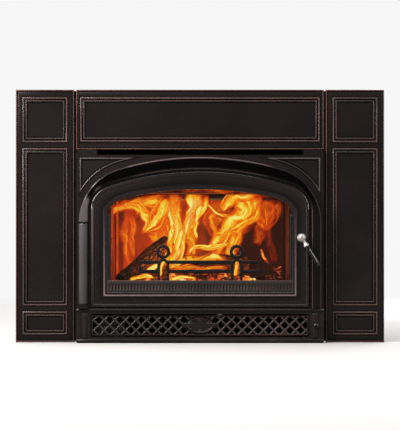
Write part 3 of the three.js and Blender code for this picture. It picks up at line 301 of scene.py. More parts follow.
def bark_finish():
    """Charred, split wood: black cracked plates over brown grain that glows in its deepest cracks. On the
    side that is marked as lit, a bright orange colour and a faint glow paint the fire's light on the grain."""
    f = Finish("charred_wood")
    ends, lit, along, around = f.mark("cut"), f.mark("lit"), f.mark("along"), f.mark("round")
    grain = f.noise(1.0, 5.0, 0.65, at=f.vector(along * 30.0, around * 120.0, ends))
    plates = f.cells(1.0, at=f.vector(along * 48.0, around * 85.0, 0.0), feature="DISTANCE_TO_EDGE")
    crack = 1.0 - plates.between(0.03, 0.22)
    scale = f.noise(1.0, 4.0, 0.7, at=f.vector(along * 75.0, around * 230.0, 4.0))
    base = f.blend(grain.between(0.32, 0.7), (0.012, 0.005, 0.004), (0.11, 0.034, 0.016))
    # Painted firelight: a bright orange colour on the lit side.
    base = f.blend(scale.between(0.43, 0.57) * lit, base, (0.72, 0.30, 0.15))
    base = f.blend(crack * 0.9, base, (0.003, 0.002, 0.002))
    base = f.blend(ends, base, (0.005, 0.0035, 0.003))
    glow = f.mark("glow") * f.noise(34.0, 3.0).between(0.42, 0.66)
    # The lit side's faint glow is painted firelight; the glow in the cracks is the wood's own.
    heat = glow * (0.35 + crack) + lit * scale.between(0.49, 0.62) * 0.42
    hot = f.ramp(
        heat, (0.0, (0, 0, 0)), (0.3, (0.16, 0.014, 0.0)), (0.62, (0.9, 0.17, 0.01)),
        (1.0, (1.0, 0.62, 0.12)))
    return f.done(
        Base_Color=base, Roughness=0.8, Specular_IOR_Level=0.25, Emission_Color=hot,
        Emission_Strength=1.0, Normal=f.bump(0.6 * grain - 0.8 * crack + 0.3 * scale, 0.004, 1.0))


def ember_finish():
    """Coals under ash: grey-pink where ash lies, dark red to orange where it has cracked, and yellow in
    the hottest places."""
    f = Finish("glowing_embers")
    crack = f.noise(55.0, 5.0, 0.65, at=f.warped(60.0, 0.012, 0.012, 0.012))
    ash = f.noise(120.0, 4.0, 0.7)
    heat = f.noise(13.0, 2.0).between(0.38, 0.64) * 0.36 + crack * 1.5 - 0.60 + f.mark("glow") * 0.38
    hot = f.ramp(
        heat, (0.16, (0.0, 0.0, 0.0)), (0.28, (0.16, 0.008, 0.001)), (0.42, (0.62, 0.050, 0.003)),
        (0.56, (1.0, 0.20, 0.010)), (0.72, (1.0, 0.52, 0.06)), (0.90, (1.0, 0.85, 0.42)))
    base = f.blend(ash.between(0.42, 0.66), (0.012, 0.008, 0.007), (0.16, 0.115, 0.10))
    return f.done(
        Base_Color=base, Roughness=0.95, Specular_IOR_Level=0.1, Emission_Color=hot,
        Emission_Strength=1.0, Normal=f.bump(0.6 * crack + 0.4 * ash, 0.004, 0.8))


def rope_finish():
    """Woven glass-fibre rope, greyed by smoke."""
    f = Finish("glass_fibre_rope")
    strand = f.noise(1.0, 2.0, at=f.stretch(f.place, 900.0, 900.0, 300.0))
    weave = f.cells(620.0, feature="DISTANCE_TO_EDGE")
    base = f.blend(f.noise(18.0, 3.0), (0.17, 0.16, 0.145), (0.38, 0.37, 0.33))
    base = f.blend(weave.between(0.0, 0.12), (0.06, 0.055, 0.05), base)
    return f.done(
        Base_Color=base, Roughness=0.95, Specular_IOR_Level=0.2, Normal=f.bump(weave + strand, 0.0008, 0.8))


def glass_finish():
    """Clear ceramic glass with a thin, uneven film of smoke."""
    f = Finish("hearth_glass")
    haze = f.noise(9.0, 4.0)
    return f.done(
        Base_Color=f.blend(haze, (0.05, 0.04, 0.035), (0.09, 0.075, 0.065)),
        Roughness=0.04 + 0.05 * haze, Specular_IOR_Level=0.5,
        Alpha=0.035 + 0.03 * haze + 0.45 * f.number("Fresnel", IOR=1.45))


def plastic_finish(name, roughness, grain, coat):
    """Moulded black plastic with a fine even grain."""
    black = (0.006, 0.006, 0.0065)
    f = Finish(name)
    wear = f.noise(30.0, 3.0)
    return f.done(
        Base_Color=f.blend(wear, black, tuple(1.8 * c for c in black)), Coat_Weight=coat,
        Coat_Roughness=0.12, Roughness=roughness + 0.12 * wear,
        Normal=f.bump(f.noise(grain, 3.0), 0.00025, 0.3))


def flame_finish():
    """Flame on a ribbon: streaks and bright threads that follow its flow and fade towards its sides and
    ends, from dark red through orange to a pale yellow core."""
    f = Finish("flame")
    flow = f.node("UVMap", uv_map="flow").outputs[0]
    seed, warmth = f.mark("seed"), f.mark("warmth")
    across, along = f.part("X", flow), f.part("Y", flow)
    bend = f.noise(1.0, 2.0, at=f.vector(across * 1.2, along * 2.2, seed))
    curl = f.noise(1.0, 2.0, at=f.vector(across * 2.5, along * 5.0, seed + 5.0))
    moved = across + (bend - 0.5) * 1.1 + (curl - 0.5) * 0.25
    streak = f.noise(1.0, 3.0, 0.6, at=f.vector(moved * 4.2, along * 1.2, seed + 3.0))
    strand = f.noise(1.0, 1.0, at=f.vector(moved * 5.0, along * 1.5, seed + 9.0))
    thread = 1.0 - abs(strand - 0.5) * 8.0
    side = 1.0 - abs(across * 2.0 - 1.0 + (bend - 0.5) * 0.9)
    soft = side.between(-0.05, 0.85)
    heat = warmth * soft * (-0.23 + 1.83 * streak + 0.05 * thread.between(0.0, 1.0))
    colour = f.ramp(
        heat, (0.04, (0.16, 0.006, 0.001)), (0.18, (0.50, 0.020, 0.002)), (0.33, (0.88, 0.070, 0.002)),
        (0.48, (1.0, 0.20, 0.003)), (0.62, (1.0, 0.46, 0.010)), (0.78, (1.0, 0.78, 0.09)),
        (0.96, (1.0, 0.94, 0.26)))
    return f.done(
        Base_Color=(0.0, 0.0, 0.0), Roughness=1.0, Specular_IOR_Level=0.0, Emission_Color=colour,
        Emission_Strength=1.0, Alpha=heat.between(0.05, 0.70))


def glow_finish():
    """The far side of the fire: a glowing sheet of orange and brown-red smoke and painted firelight on the
    wall behind, brightest behind the flames, with a painted glow of light on the side brick and a dark stripe
    at its left."""
    f = Finish("fire_glow")
    x, z = f.part("X"), f.part("Z")
    curl = f.noise(1.0, 4.0, 0.55, at=f.stretch(f.warped(9.0, 0.14, 0.0, 0.16), 24.0, 1.0, 9.0))
    # Painted firelight: brightest behind the flames, with a painted glow on the side brick at the left.
    lit = 1.0 - (x + 0.055).between(0.02, 0.19) * 0.74
    wall = 1.0 - (x + 0.259).between(0.004, 0.010)
    stripe = 1.0 - abs(x + 0.244).between(0.005, 0.012)
    low = 1.0 - z.between(0.14, 0.30) * 0.15
    heat = lit * low * (0.10 + 0.70 * curl) * (1.0 + 0.15 * wall) * (1.0 - 0.4 * stripe)
    colour = f.ramp(
        heat, (0.10, (0.014, 0.004, 0.002)), (0.24, (0.09, 0.010, 0.003)), (0.36, (0.34, 0.028, 0.004)),
        (0.50, (0.66, 0.055, 0.005)), (0.68, (0.96, 0.17, 0.010)))
    return f.done(
        Base_Color=(0.03, 0.015, 0.01), Roughness=1.0, Specular_IOR_Level=0.0, Emission_Color=colour,
        Emission_Strength=1.0)


brown = (0.0105, 0.0060, 0.0063), (0.0185, 0.0110, 0.0115), (0.19, 0.075, 0.052)
# A darker copy of the brown enamel, for the moulding and the hinge column's node: painted shade and dark
# reflection.
shaded_brown = (0.0060, 0.0040, 0.0042), (0.0110, 0.0080, 0.0085), (0.17, 0.085, 0.07)
grey_brown = (0.019, 0.0125, 0.012), (0.029, 0.020, 0.019), (0.15, 0.092, 0.075)
# A lighter copy of the enamel, for the hinge column's barrel: a painted reflection of light.
grey = (0.068, 0.057, 0.059), (0.094, 0.080, 0.083), (0.16, 0.12, 0.11)
black = (0.004, 0.0035, 0.0035), (0.008, 0.0065, 0.0065), (0.1, 0.06, 0.05)
enamel = enamel_finish("brown_enamel", *brown, 0.24)
moulding_enamel = enamel_finish("moulding_enamel", *shaded_brown, 0.14, 0.15)
strip_enamel = enamel_finish("strip_enamel", *grey_brown, 0.42, 0.4, 0.25)
column_enamel = enamel_finish("column_enamel", *grey, 0.46)
lattice_enamel = enamel_finish("lattice_enamel", *brown, 0.44, 0.3, 0.32)
knob_enamel = enamel_finish("knob_enamel", *black, 0.12)
blued_iron = iron_finish()
nickel = nickel_finish()
steel = steel_finish()
galvanised = galvanised_finish()
black_sheet = black_sheet_finish(
    "matt_black_sheet", (0.013, 0.0125, 0.0125), (0.036, 0.034, 0.033), (0.11, 0.085, 0.07))
# A near-black copy of the matt sheet, for the parts seen behind the lattice: painted shade.
shade_black_sheet = black_sheet_finish(
    "shade_black_sheet", (0.003, 0.003, 0.003), (0.007, 0.006, 0.006), (0.02, 0.016, 0.013))
side_brick = brick_finish("side_firebrick", "Y", "Z", (0.42, 0.085, 0.040), (0.09, 0.026, 0.016))
back_brick = brick_finish("back_firebrick", "X", "Z", (0.38, 0.20, 0.12), (0.10, 0.05, 0.03))
floor_brick = brick_finish("floor_firebrick", "X", "Y", (0.30, 0.17, 0.11), (0.09, 0.05, 0.03))
charred_wood = bark_finish()
embers = ember_finish()
rope = rope_finish()
hearth_glass = glass_finish()
matte_plastic = plastic_finish("matt_plastic", 0.55, 900.0, 0.1)
grip_plastic = plastic_finish("gloss_grip", 0.08, 300.0, 1.0)
flame_look = flame_finish()
fire_glow = glow_finish()


# ------------------------------------------------------------------ surfaces
def quads(rows, columns, around):
    """The corner numbers of the quads between the points of a grid."""
    r = np.arange(rows if "rows" in around else rows - 1)
    c = np.arange(columns if "columns" in around else columns - 1)
    r, c = [a.ravel() for a in np.meshgrid(r, c, indexing="ij")]
    r1, c1 = (r + 1) % rows, (c + 1) % columns
    return np.stack([r * columns + c, r * columns + c1, r1 * columns + c1, r1 * columns + c], axis=1)


def grid(points, around="", ends=False, **marks):
    """One grid of a skin: points (rows, columns, 3) in millimetres, which of its "rows" and "columns" go
    all the way round, ends=True to close its first and last row, and marks, a value for each point."""
    return {"points": points, "around": around, "ends": ends, "marks": marks}


def skin(name, grids, finish, body="root", stands_for=(), crease=38.0, closed=True):
    """One mesh from several grids. In a closed one, points that meet are merged and faces are turned
    outward. Edges sharper than crease, in degrees, stay sharp."""
    corners, faces, marks, start = [], [], {}, 0
    total = sum(g["points"][..., 0].size for g in grids)
    for g in grids:
        rows, columns = g["points"].shape[:2]
        count = rows * columns
        corners.append(g["points"].reshape(-1, 3) * 0.001)
        faces.extend((quads(rows, columns, g["around"]) + start).tolist())
        if g["ends"]:
            faces.append(list(range(start, start + columns))[::-1])
            faces.append(list(range(start + count - columns, start + count)))
        for key, value in g["marks"].items():
            held = marks.setdefault(key, np.zeros(total, np.float32))
            held[start:start + count] = np.broadcast_to(value, (rows, columns)).ravel()
        start += count
    mesh = bpy.data.meshes.new(name)
    mesh.from_pydata(np.concatenate(corners).tolist(), [], faces)
    for key, value in marks.items():
        mesh.attributes.new(key, "FLOAT", "POINT").data.foreach_set("value", value)
    if closed:
        work = bmesh.new()
        work.from_mesh(mesh)
        bmesh.ops.remove_doubles(work, verts=work.verts, dist=2e-6)
        bmesh.ops.recalc_face_normals(work, faces=work.faces)
        work.to_mesh(mesh)
        work.free()
    mesh.polygons.foreach_set("use_smooth", np.ones(len(mesh.polygons), bool))
    mesh.set_sharp_from_angle(angle=math.radians(crease))
    mesh.materials.append(finish)
    made = bpy.data.objects.new(name, mesh)
    scene.collection.objects.link(made)
    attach(made, body)
    if stands_for:
        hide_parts(*stands_for)
    return made


def graph(at, pairs):
    """The height at each place of straight lines through pairs of (place, height)."""
    return np.interp(at, *zip(*pairs))


def arch_centres(half, corner, crown, top):
    """Of a three-centred arch: how far its corner centres lie from the middle, their level, the level of
    the crown's centre, and half the angle of the crown's arc."""
    centre, reach = half - corner, crown - corner
    spring = top - crown + math.sqrt(reach ** 2 - centre ** 2)
    return centre, spring, top - crown, math.asin(centre / reach)


def arch_line(half, corner, crown, top, bottom, side=None, steps=(14, 26)):
    """A three-centred arch on straight legs, cut off at x = ±side, from its right foot to its left one:
    a corner arc up to the tangent point, the crown arc, and the corner arc again."""
    side = half if side is None else side
    centre, spring, deep, lean = arch_centres(half, corner, crown, top)
    first = math.acos(min(1.0, (side - centre) / corner))
    turn = np.linspace(first, math.pi / 2 - lean, steps[0])
    over = np.linspace(math.pi / 2 - lean, math.pi / 2 + lean, steps[1])[1:-1]
    x, z = centre + corner * np.cos(turn), spring + corner * np.sin(turn)
    return np.stack([
        np.concatenate([[side], x, crown * np.cos(over), -x[::-1], [-side]]),
        np.concatenate([[bottom], z, deep + crown * np.sin(over), z[::-1], [bottom]])], axis=1)


def door_line(inward):
    """The door's outline moved in."""
    return arch_line(
        half=322 - inward, corner=74 - inward, crown=844.5 - inward, top=503 - inward, bottom=102.1 + inward)


def window_line(out):
    """The window's outline moved out."""
    return arch_line(
        half=287.5 + out, corner=93.5 + out, crown=960 + out, top=449.5 + out, bottom=148.1 - out,
        side=271 + out)


def rectangle(x0, x1, z0, z1, inward=0.0):
    return np.array([
        [x0 + inward, z0 + inward], [x1 - inward, z0 + inward],
        [x1 - inward, z1 - inward], [x0 + inward, z1 - inward]])


def lid(corners):
    """The points of the flat quad inside a ring of four points."""
    return np.stack([corners[[0, 1]], corners[[3, 2]]])


def loft(*stretches):
    """The points and the wear of one grid, one row after the other. Each stretch is an outline, which
    gives a line of (x, z) points for an offset, and a profile of (offset, depth y, wear)."""
    rows = [(outline(offset), y, wear) for outline, profile in stretches for offset, y, wear in profile]
    points = np.stack([
        np.stack([line[:, 0], np.full(len(line), y), line[:, 1]], axis=1) for line, y, _ in rows])
    return points, np.array([wear for _, _, wear in rows])[:, None]


def bead(start, end, base, rise, count=9, wear=1.0):
    """A half-round bead across the offsets start to end: y = base - rise sin(pi t)^0.8, worn on top."""
    t = np.linspace(0, 1, count)
    crest = np.sin(math.pi * t).clip(0, 1)
    return list(zip(start + (end - start) * t, base - rise * crest ** 0.8, wear * crest ** 2))


def smooth_line(control, count):
    """A Catmull-Rom curve through control points, of any number of parts each, at even parameters."""
    control = np.asarray(control, float)
    padded = np.vstack([2 * control[0] - control[1], control, 2 * control[-1] - control[-2]])
    t = np.linspace(0, len(control) - 1, count)
    i = np.minimum(t.astype(int), len(control) - 2)
    u = (t - i)[:, None]
    a, b, c, d = (padded[i + k] for k in range(4))
    return 0.5 * (2 * b + (c - a) * u + (2 * a - 5 * b + 4 * c - d) * u ** 2
                  + (3 * b - 3 * c + d - a) * u ** 3)


def across(line, looped=False):
    """The unit normal at each point of a line, open or looped."""
    way = np.roll(line, -1, 0) - np.roll(line, 1, 0) if looped else np.gradient(line, axis=0)
    way /= np.linalg.norm(way, axis=1, keepdims=True)
    return np.stack([-way[:, 1], way[:, 0]], axis=1)


def bar(line, y, half, depth, power=3.0, sides=16, looped=False, worn=0.0):
    """A bar along a line of (x, z) points at depth y. Its section is a superellipse, half wide and depth
    deep each way, |a / half|^power + |b / depth|^power = 1, and square to the line."""
    line = np.asarray(line, float)
    normal = across(line, looped)
    angle = np.linspace(0, 2 * math.pi, sides, endpoint=False) + math.pi / sides
    ca, sa = np.cos(angle), np.sin(angle)
    swell = (np.abs(ca) ** power + np.abs(sa) ** power) ** (-1 / power)
    a, b = half * ca * swell, depth * sa * swell
    points = np.stack([
        line[:, None, 0] + normal[:, None, 0] * a, np.broadcast_to(y + b, (len(line), sides)),
        line[:, None, 1] + normal[:, None, 1] * a], axis=2)
    marks = {"worn": worn * np.clip(-sa, 0, 1) ** 2} if worn else {}
    return grid(points, "rows columns" if looped else "columns", not looped, **marks)


def drawn_in(rod, sizes):
    """A bar with each of its rings made larger or smaller about its own middle."""
    middle = rod["points"].mean(axis=1, keepdims=True)
    rod["points"] = middle + (rod["points"] - middle) * np.asarray(sizes)[:, None, None]
    return rod


def turned(profile, origin, way, sides=48):
    """A profile of (radius, distance, wear) turned about the axis from origin along way."""
    profile = np.asarray(profile, float)
    way = np.asarray(way, float) / np.linalg.norm(way)
    helper = np.array([0.0, 0, 1]) if abs(way[2]) < 0.9 else np.array([1.0, 0, 0])
    u = np.cross(way, helper)
    u /= np.linalg.norm(u)
    v = np.cross(way, u)
    angle = np.linspace(0, 2 * math.pi, sides, endpoint=False)
    spoke = np.cos(angle)[:, None] * u + np.sin(angle)[:, None] * v
    points = (np.asarray(origin, float) + profile[:, 1, None, None] * way
              + profile[:, 0, None, None] * spoke[None])
    return grid(points, "columns", worn=profile[:, 2:3] if profile.shape[1] > 2 else 0.0)


# ------------------------------------------------------------------ surround
def panel(name, x0, x1, z0, z1, frames, shades):
    """A surround panel: an edge that rolls from its rim to its face, with a line of painted shade in the
    groove inside it, then one zone for each frame, in which an outer bead, a fine inner bead and a cove lead
    down to the sunk field. Painted shade darkens the grooves beside the beads, and a painted highlight
    lightens their crests.
    Each zone has a shade: painted shade on its flat parts."""
    face = -14.0
    rim = [(8, -8, 0), (8, 0, 0), (0, 0, 0), (0, -12.2, .3), (.3, -13.6, .9), (1.2, -14.9, 1.2),
           (2.3, -15.3, 1.1), (3.2, -14.9, .4), (3.9, -13.9, 0), (4.6, -13.4, 0), (6.4, -13.5, 0),
           (7.6, face, 0)]
    frame_edge = [
        (-3, face, 0), (-1.2, face, 0), (-.3, face + .1, 0), *bead(0, 6.6, face, 2.5, 13),
        (7.0, face + .6, 0), (7.8, face + .7, 0), (8.8, face + .4, 0), (9.2, face, 0),
        *bead(9.4, 14.6, face, 1.9, 11, 0.8), (15, face + .6, .2), (15.8, face + 1.7, 0),
        (17.2, face + 2, 0), (19, face + 2, 0)]
    groove_shade = [(-3, 0), (-1.2, .8), (-.3, .95), (.6, 0), (5.8, 0), (7, 1), (9.2, 1), (10, 0), (13.8, 0),
             (15, 1), (17.2, .9), (19, 0)]
    points, worn = loft((lambda d: rectangle(x0, x1, z0, z1, d), rim))
    # Painted shade: a black line in the groove inside the rim.
    line = np.array([[3.5 < d < 7] for d, _, _ in rim])
    grids = [grid(points, "columns", worn=worn, dark=line), grid(lid(points[0]))]
    edge = rim[-1][0]
    cuts = [z0 + edge] + [(a[3] + b[2]) / 2 for a, b in zip(frames[:-1], frames[1:])] + [z1 - edge]
    for box, low, high, shade in zip(frames, cuts[:-1], cuts[1:], shades):
        zone = rectangle(x0 + edge, x1 - edge, low, high)
        points, worn = loft((lambda d: zone, [(0, face, 0)]), (lambda d: rectangle(*box, d), frame_edge))
        # Painted shade in the grooves and on the zone's flat parts; a painted highlight on the bead crests.
        dark = np.array([0.0, *graph([d for d, _, _ in frame_edge], groove_shade)])[:, None]
        dark = np.maximum(dark, shade * (worn < .1))
        grids.append(grid(points, "columns", worn=worn, dark=dark, pale=worn ** 2 * 0.34))
        grids.append(grid(lid(points[-1]), dark=shade))
    skin(name, grids, enamel, stands_for=[name.replace("_casting", "")], crease=32.0)


# Each panel's last list holds the painted shade of its zones, darkest at the side panels' foot.
panel_width, surround_half, surround_top = 172.2, 542.8, 743.8
margin, field_top = 19.0, 722.3
side_levels = [(21.5, 91.5), (107.0, 572.3), (587.8, field_top)]
for side, x0 in (("left", -surround_half), ("right", surround_half - panel_width)):
    x1 = x0 + panel_width
    side_frames = [(x0 + margin, x1 - margin, low, high) for low, high in side_levels]
    panel(f"surround_{side}_panel_casting", x0, x1, 0, surround_top, side_frames, [.42, .05, .05])
top_half, top_foot, top_frame_half = 364.7, 567.7, 353.95
panel("surround_top_panel_casting", -top_half, top_half, top_foot, surround_top,
      [(-top_frame_half, top_frame_half, 589.2, field_top)], [.25])


# ------------------------------------------------------------------ arched moulding and spandrels
def arch_moulding():
    """The moulding round the door: its outline runs from the outer arch to the inner one, and its
    section is a flat band with quarter-round edges. The left leg stops above the hinge column."""
    foot, column_top = 101.3, 355.1
    outer = arch_line(half=355.4, corner=166.4, crown=841.4, top=545.4, bottom=foot, steps=(30, 26))
    inner = arch_line(half=326.7, corner=78.7, crown=849.2, top=507.7, bottom=foot, steps=(30, 26))
    outer_half = [(0, -35, 0), (0, -49, 0), (.012, -52.4, .3), (.045, -55.4, 1), (.10, -57.3, .8),
                  (.17, -58.1, .1), (.32, -58.35, 0), (.5, -58.4, 0)]
    section = outer_half + [(1 - share, y, wear) for share, y, wear in outer_half[-2::-1]]
    share, depth, worn = np.array(section).T
    line = outer[:, None, :] * (1 - share)[None, :, None] + inner[:, None, :] * share[None, :, None]
    x, z = line[..., 0], line[..., 1]
    left = x < 0
    z = np.where(left, np.maximum(z, column_top), z)
    # The flat is painted black, a painted dark reflection, less so low on the right leg. A painted
    # highlight lightens the left leg's foot and, over the crown, both edges of the band.
    dark = graph(share, [(0, 0), (.1, 0), (.17, 1), (.83, 1), (.9, 0), (1, 0)])
    dark = dark * (1 - 0.8 * np.clip((430 - z) / 60, 0, 1) * ~left)
    low = np.clip((440 - z - 14 * share) / 14, 0, 1) * left
    crown = np.clip((z - 470) / 20, 0, 1) * np.clip((215 - np.abs(x)) / 30, 0, 1)
    pale = low * graph(share, [(0, 0), (.08, .5), (.16, 1), (.84, 1), (.92, .3), (1, 0)])
    pale = pale + crown * graph(
        share, [(0, 0), (.02, .5), (.05, .7), (.09, 0), (.91, 0), (.955, 1), (.98, .7), (1, 0)])
    shoulder = (z > 400) & (np.abs(x) > 205)
    # Two slanting painted glints on the left shoulder.
    bright = np.zeros_like(pale)
    for glint_x, glint_z in ((-312, 463), (-300, 449)):
        east, up = x - glint_x, z - glint_z
        bright = np.maximum(bright, 0.8 * np.exp(-(np.hypot(east + up, 2.5 * (east - up)) / 15) ** 2))
    band = grid(
        np.stack([x, np.broadcast_to(depth, x.shape), z], axis=2), "columns", True,
        worn=worn * (0.9 - 0.4 * shoulder), dark=dark * (1 - pale) * (1 - bright), pale=pale, bright=bright)
    skin("arch_moulding", [band], moulding_enamel, crease=50)


def spandrel_line(sign, inward):
    """The three-sided line beside the arch: level on top, upright at the side, and 18 mm off the arch.
    It keeps a margin to the casting's side and top."""
    casting_half, casting_top, side_margin, top_margin = 363, 551, 9.5, 7.4
    off = 18 + inward
    corner, crown = 166 + off, 841 + off
    centre, spring, deep, lean = arch_centres(355 + off, corner, crown, 545 + off)
    side, top = casting_half - side_margin - inward, casting_top - top_margin - inward
    a = np.linspace(math.asin((top - deep) / crown), math.pi / 2 - lean, 8)
    b = np.linspace(math.pi / 2 - lean, math.acos(min(1.0, (side - centre) / corner)), 12)[1:]
    x = np.concatenate([[side], crown * np.cos(a), centre + corner * np.cos(b)])
    z = np.concatenate([[top], deep + crown * np.sin(a), spring + corner * np.sin(b)])
    return np.stack([sign * x, z], axis=1)


def spandrel(side, sign):
    """The raised line of a spandrel. It is worn most at its sharp corners, with painted shade along both
    sides of its bead and a painted highlight on its crest, strongest on its level top.
    """
    back, face = -35.5, -36.15
    profile = [(-2.6, back, 0), (-2.4, face, 0), *bead(-.3, 5.6, -36.1, 2.9, 11, 1.1), (9.6, face, 0),
               (9.8, back, 0)]
    points, worn = loft((lambda inward: spandrel_line(sign, inward), profile))
    # Painted shade on both sides of the bead and a painted highlight on its crest.
    dark = np.array([.7] * 3 + [0] * 9 + [.9] * 3)[:, None]
    along = len(points[0]) - 3
    pale = worn ** 2 * np.array([1.1, 1.1] + [.12] * along + [.6])
    worn = worn * np.array([1, 1] + [.55] * along + [.8])
    line = grid(points, "rows columns", worn=worn, dark=dark, pale=pale)
    skin(f"spandrel_bead_{side}", [line], enamel)


arch_moulding()
spandrel("left", -1)
spandrel("right", 1)

# Sheet tabs close the gaps over the casting's corners and beside the grille, and a bead of sealant fills
# the corner under the jacket's top, so that no light comes through from behind. The sealant's run holds
# (x, y) at one level, so its Y and Z change places after the sweep.
upper_tab = [(319.8, 570), (328, 570), (336.3, 570)], 12.0
lower_tab = [(328, 3.4), (328, 50), (328, 112)], 8.2
tabs = [bar([(sign * x, z) for x, z in line], y=1.2, half=half, depth=0.8, power=6.0)
        for line, half in (upper_tab, lower_tab) for sign in (-1, 1)]
skin("corner_tabs", tabs, black_sheet)
run = [(316.6, 4), (316.6, 200), (316.6, 322), (314.8, 330.9), (278, 393.3), (271, 397.1), (100, 397.1)]
run += [(-x, y) for x, y in run[::-1]]
sealant = bar(run, y=564.95, half=1.35, depth=1.35, power=2.0, sides=12)
sealant["points"] = sealant["points"][..., [0, 2, 1]]
skin("jacket_sealant", [sealant], black_sheet)


# ------------------------------------------------------------------ door
def door():
    """The door casting: one closed sweep from its back, round its edge bead and fine inner line, over
    its face, up the window's bead, into the rebate and back past the rope's channel."""
    back, face, rebate, channel = -37.5, -48.0, -43.1, -42.5
    points, worn = loft(
        (door_line, [
            (0, back, 0), (0, -47.0, 0), *bead(0.2, 13, face, 4.5, 13, 0.9), (14, face + .35, 0),
            (15, face + .1, 0), *bead(15.4, 18.4, face, 0.4, 7, 0.1), (19.5, face, 0)]),
        (window_line, [
            (15, face, 0), *bead(13.4, 5.2, face, 4.5, 13, 1.0), (4.2, face + .2, 0),
            (1.4, face + .2, .2), (.3, face + .9, .7), (0, face + 2.2, .2), (0, rebate, 0),
            (7.3, rebate, 0), (7.3, back, 0)]),
        (door_line, [(14, back, 0), (14, channel, 0), (6, channel, 0), (6, back, 0)]))
    x, y, z = points[..., 0], points[..., 1], points[..., 2]
    window_row = 25
    inner = (np.arange(len(points)) >= window_row)[:, None]
    foot, right = z < 170, x > 0
    arch = ~foot & (z > np.where(inner, 366, 400))
    zones = [foot, arch, right]
    wear = np.where(inner, np.select(zones, [.9, .12, 1.0], .45), np.select(zones, [.35, .42, .25], 1.0))
    lift = np.where(arch, np.where(inner, .1, .45), 1.0)
    # Painted highlight (pale) on the bead crests, mostly on the outer bead's left upright, and a painted
    # glint (bright) on the window bead's foot and right side.
    shine = np.where(inner | right | arch | foot, .05, 1.0)
    pale = np.clip((worn - .5) * 2, 0, 1) * shine
    bright = inner * np.clip(worn * 1.7 - .3, 0, 1) * np.select(zones, [.6, 0, .7], 0)
    points[..., 1] = np.where(y < face, face + (y - face) * lift, y)
    # Painted shade in the gap at the door's edge, in the groove inside its bead and at the window bead's
    # edge.
    dark = np.zeros((len(points), 1))
    dark[[0, 1, 15, window_row], 0] = 1.0, 1.0, .8, .7
    casting = grid(points, "rows columns", worn=worn * wear, dark=dark, pale=pale, bright=bright)
    skin("door_front", [casting], enamel, "door", ["door_casting"], crease=34)


def ribbed_strip():
    """The strip under the glass: rings at rising levels. Between Z 154 and 168 its front is cut by
    grooves, y = base + depth (1 - |cos(pi x / pitch)|^0.45), which fade out at both ends of a rib."""
    half, pitch, base, depth, back = 270.7, 9.3, -47.4, 2.1, -43.3
    x = np.linspace(-half, half, 581)
    rib = np.abs(np.cos(math.pi * x / pitch)) ** 0.45
    levels = np.array([
        148.4, 148.9, 153.2, 153.9, 154.6, 155.6, 157, 159, 161, 163, 165, 166.4, 167.4, 168.1, 168.8,
        172, 179.6, 180.2, 180.8, 181.2, 181.8, 182.5, 183.1])
    edge = {148.4: .8, 180.2: .5, 180.8: .7, 181.2: .4, 181.8: -.1, 183.1: .8}
    rings = []
    for z in levels:
        cut = np.clip((z - 153.6) / 1.8, 0, 1) * np.clip((168.6 - z) / 1.8, 0, 1)
        front = base + depth * (1 - rib) * math.sin(cut * math.pi / 2) + edge.get(z, 0)
        front[[0, -1]] = base + 0.6
        ring = np.stack([x, front, np.full_like(x, z)], axis=1)
        rings.append(np.vstack([ring, [[half, back, z], [-half, back, z]]]))
    points = np.stack(rings)
    worn = np.broadcast_to((levels > 181)[:, None] * 1.0, points.shape[:2]).copy()
    dark = np.zeros_like(worn)
    ribbed = np.ix_((levels > 153.5) & (levels < 168.5), np.arange(len(x)))
    # Painted shade in the grooves between the ribs.
    dark[ribbed] = (1 - rib) ** 0.8
    worn[ribbed] = rib ** 4 * 0.75
    strip = grid(points, "columns", True, worn=worn, dark=dark)
    skin("ribbed_strip", [strip], strip_enamel, "door", ["fluted_strip"], crease=40)


def hinge_column():
    """The hinge column, with a rounded shoulder at each end."""
    radius, length = 13.2, 239.5
    shoulder = [(0, 0, 0), (9, 0, .2), (11.6, .7, .7), (12.9, 2.2, .9), (radius, 4.5, .2)]
    shaft = [(radius, z, 0) for z in (60, 120, 180)]
    upper = [(r, length - z, wear) for r, z, wear in shoulder[::-1]]
    column = turned(shoulder + shaft + upper, (-342, -49.5, 112.1), (0, 0, 1))
    skin("hinge_column_barrel", [column], column_enamel, "door", crease=50)


door()
# A grey edge of the glass seal shows on each side inside the window's bead.
seal = [bar([(sign * 267.6, z) for z in (151, 230, 372)], y=-44.3, half=3.1, depth=1.1, power=4.0)
        for sign in (-1, 1)]
skin("glass_edge_trim", seal, blued_iron, "door")
ribbed_strip()
hinge_column()


# ------------------------------------------------------------------ latch handle
def handle():
    """The hub's ball on the door, and a neck and a grip that point down to the right from it. Their
    profiles hold (radius, distance from the hub's middle)."""
    hub = (297.0, -68.0, 308.1)
    lean = math.radians(58.5)
    down = (math.cos(lean), 0, -math.sin(lean))
    ball = [(0, -10.35), (4.5, -10), (8.6, -8.1), (11.6, -4.6), (13, 0), (12.2, 4.6), (9.6, 8.4),
            (8.2, 11.2), (8.4, 13.6), (9.6, 15.6), (9.8, 17.4), (9.6, 19.7), (0, 19.7)]
    neck = [(0, 6), (4.7, 6), (4.7, 13), (4.4, 16), (5.2, 19), (6.9, 22.6), (8.2, 25), (8.7, 26.6),
            (8.5, 28), (7.6, 28.7), (0, 28.7)]
    grip = [(0, 29), (6.0, 29), (6.35, 29.8), (6.35, 45), (6.5, 62), (6.35, 80), (6.3, 94.6),
            (5.7, 96.6), (4.2, 97.9), (0, 98)]
    skin("latch_hub_ball", [turned(ball, hub, (0, 1, 0))], nickel, "latch", ["handle_hub"],
         crease=40)
    skin("latch_neck", [turned(neck, hub, down, 40)], nickel, "latch", ["handle_neck"],
         crease=40)
    skin("latch_grip", [turned(grip, hub, down, 40)], grip_plastic, "latch", ["handle_grip"],
         crease=40)


handle()

# ------------------------------------------------------------------ grille
grille_mid = 50.75


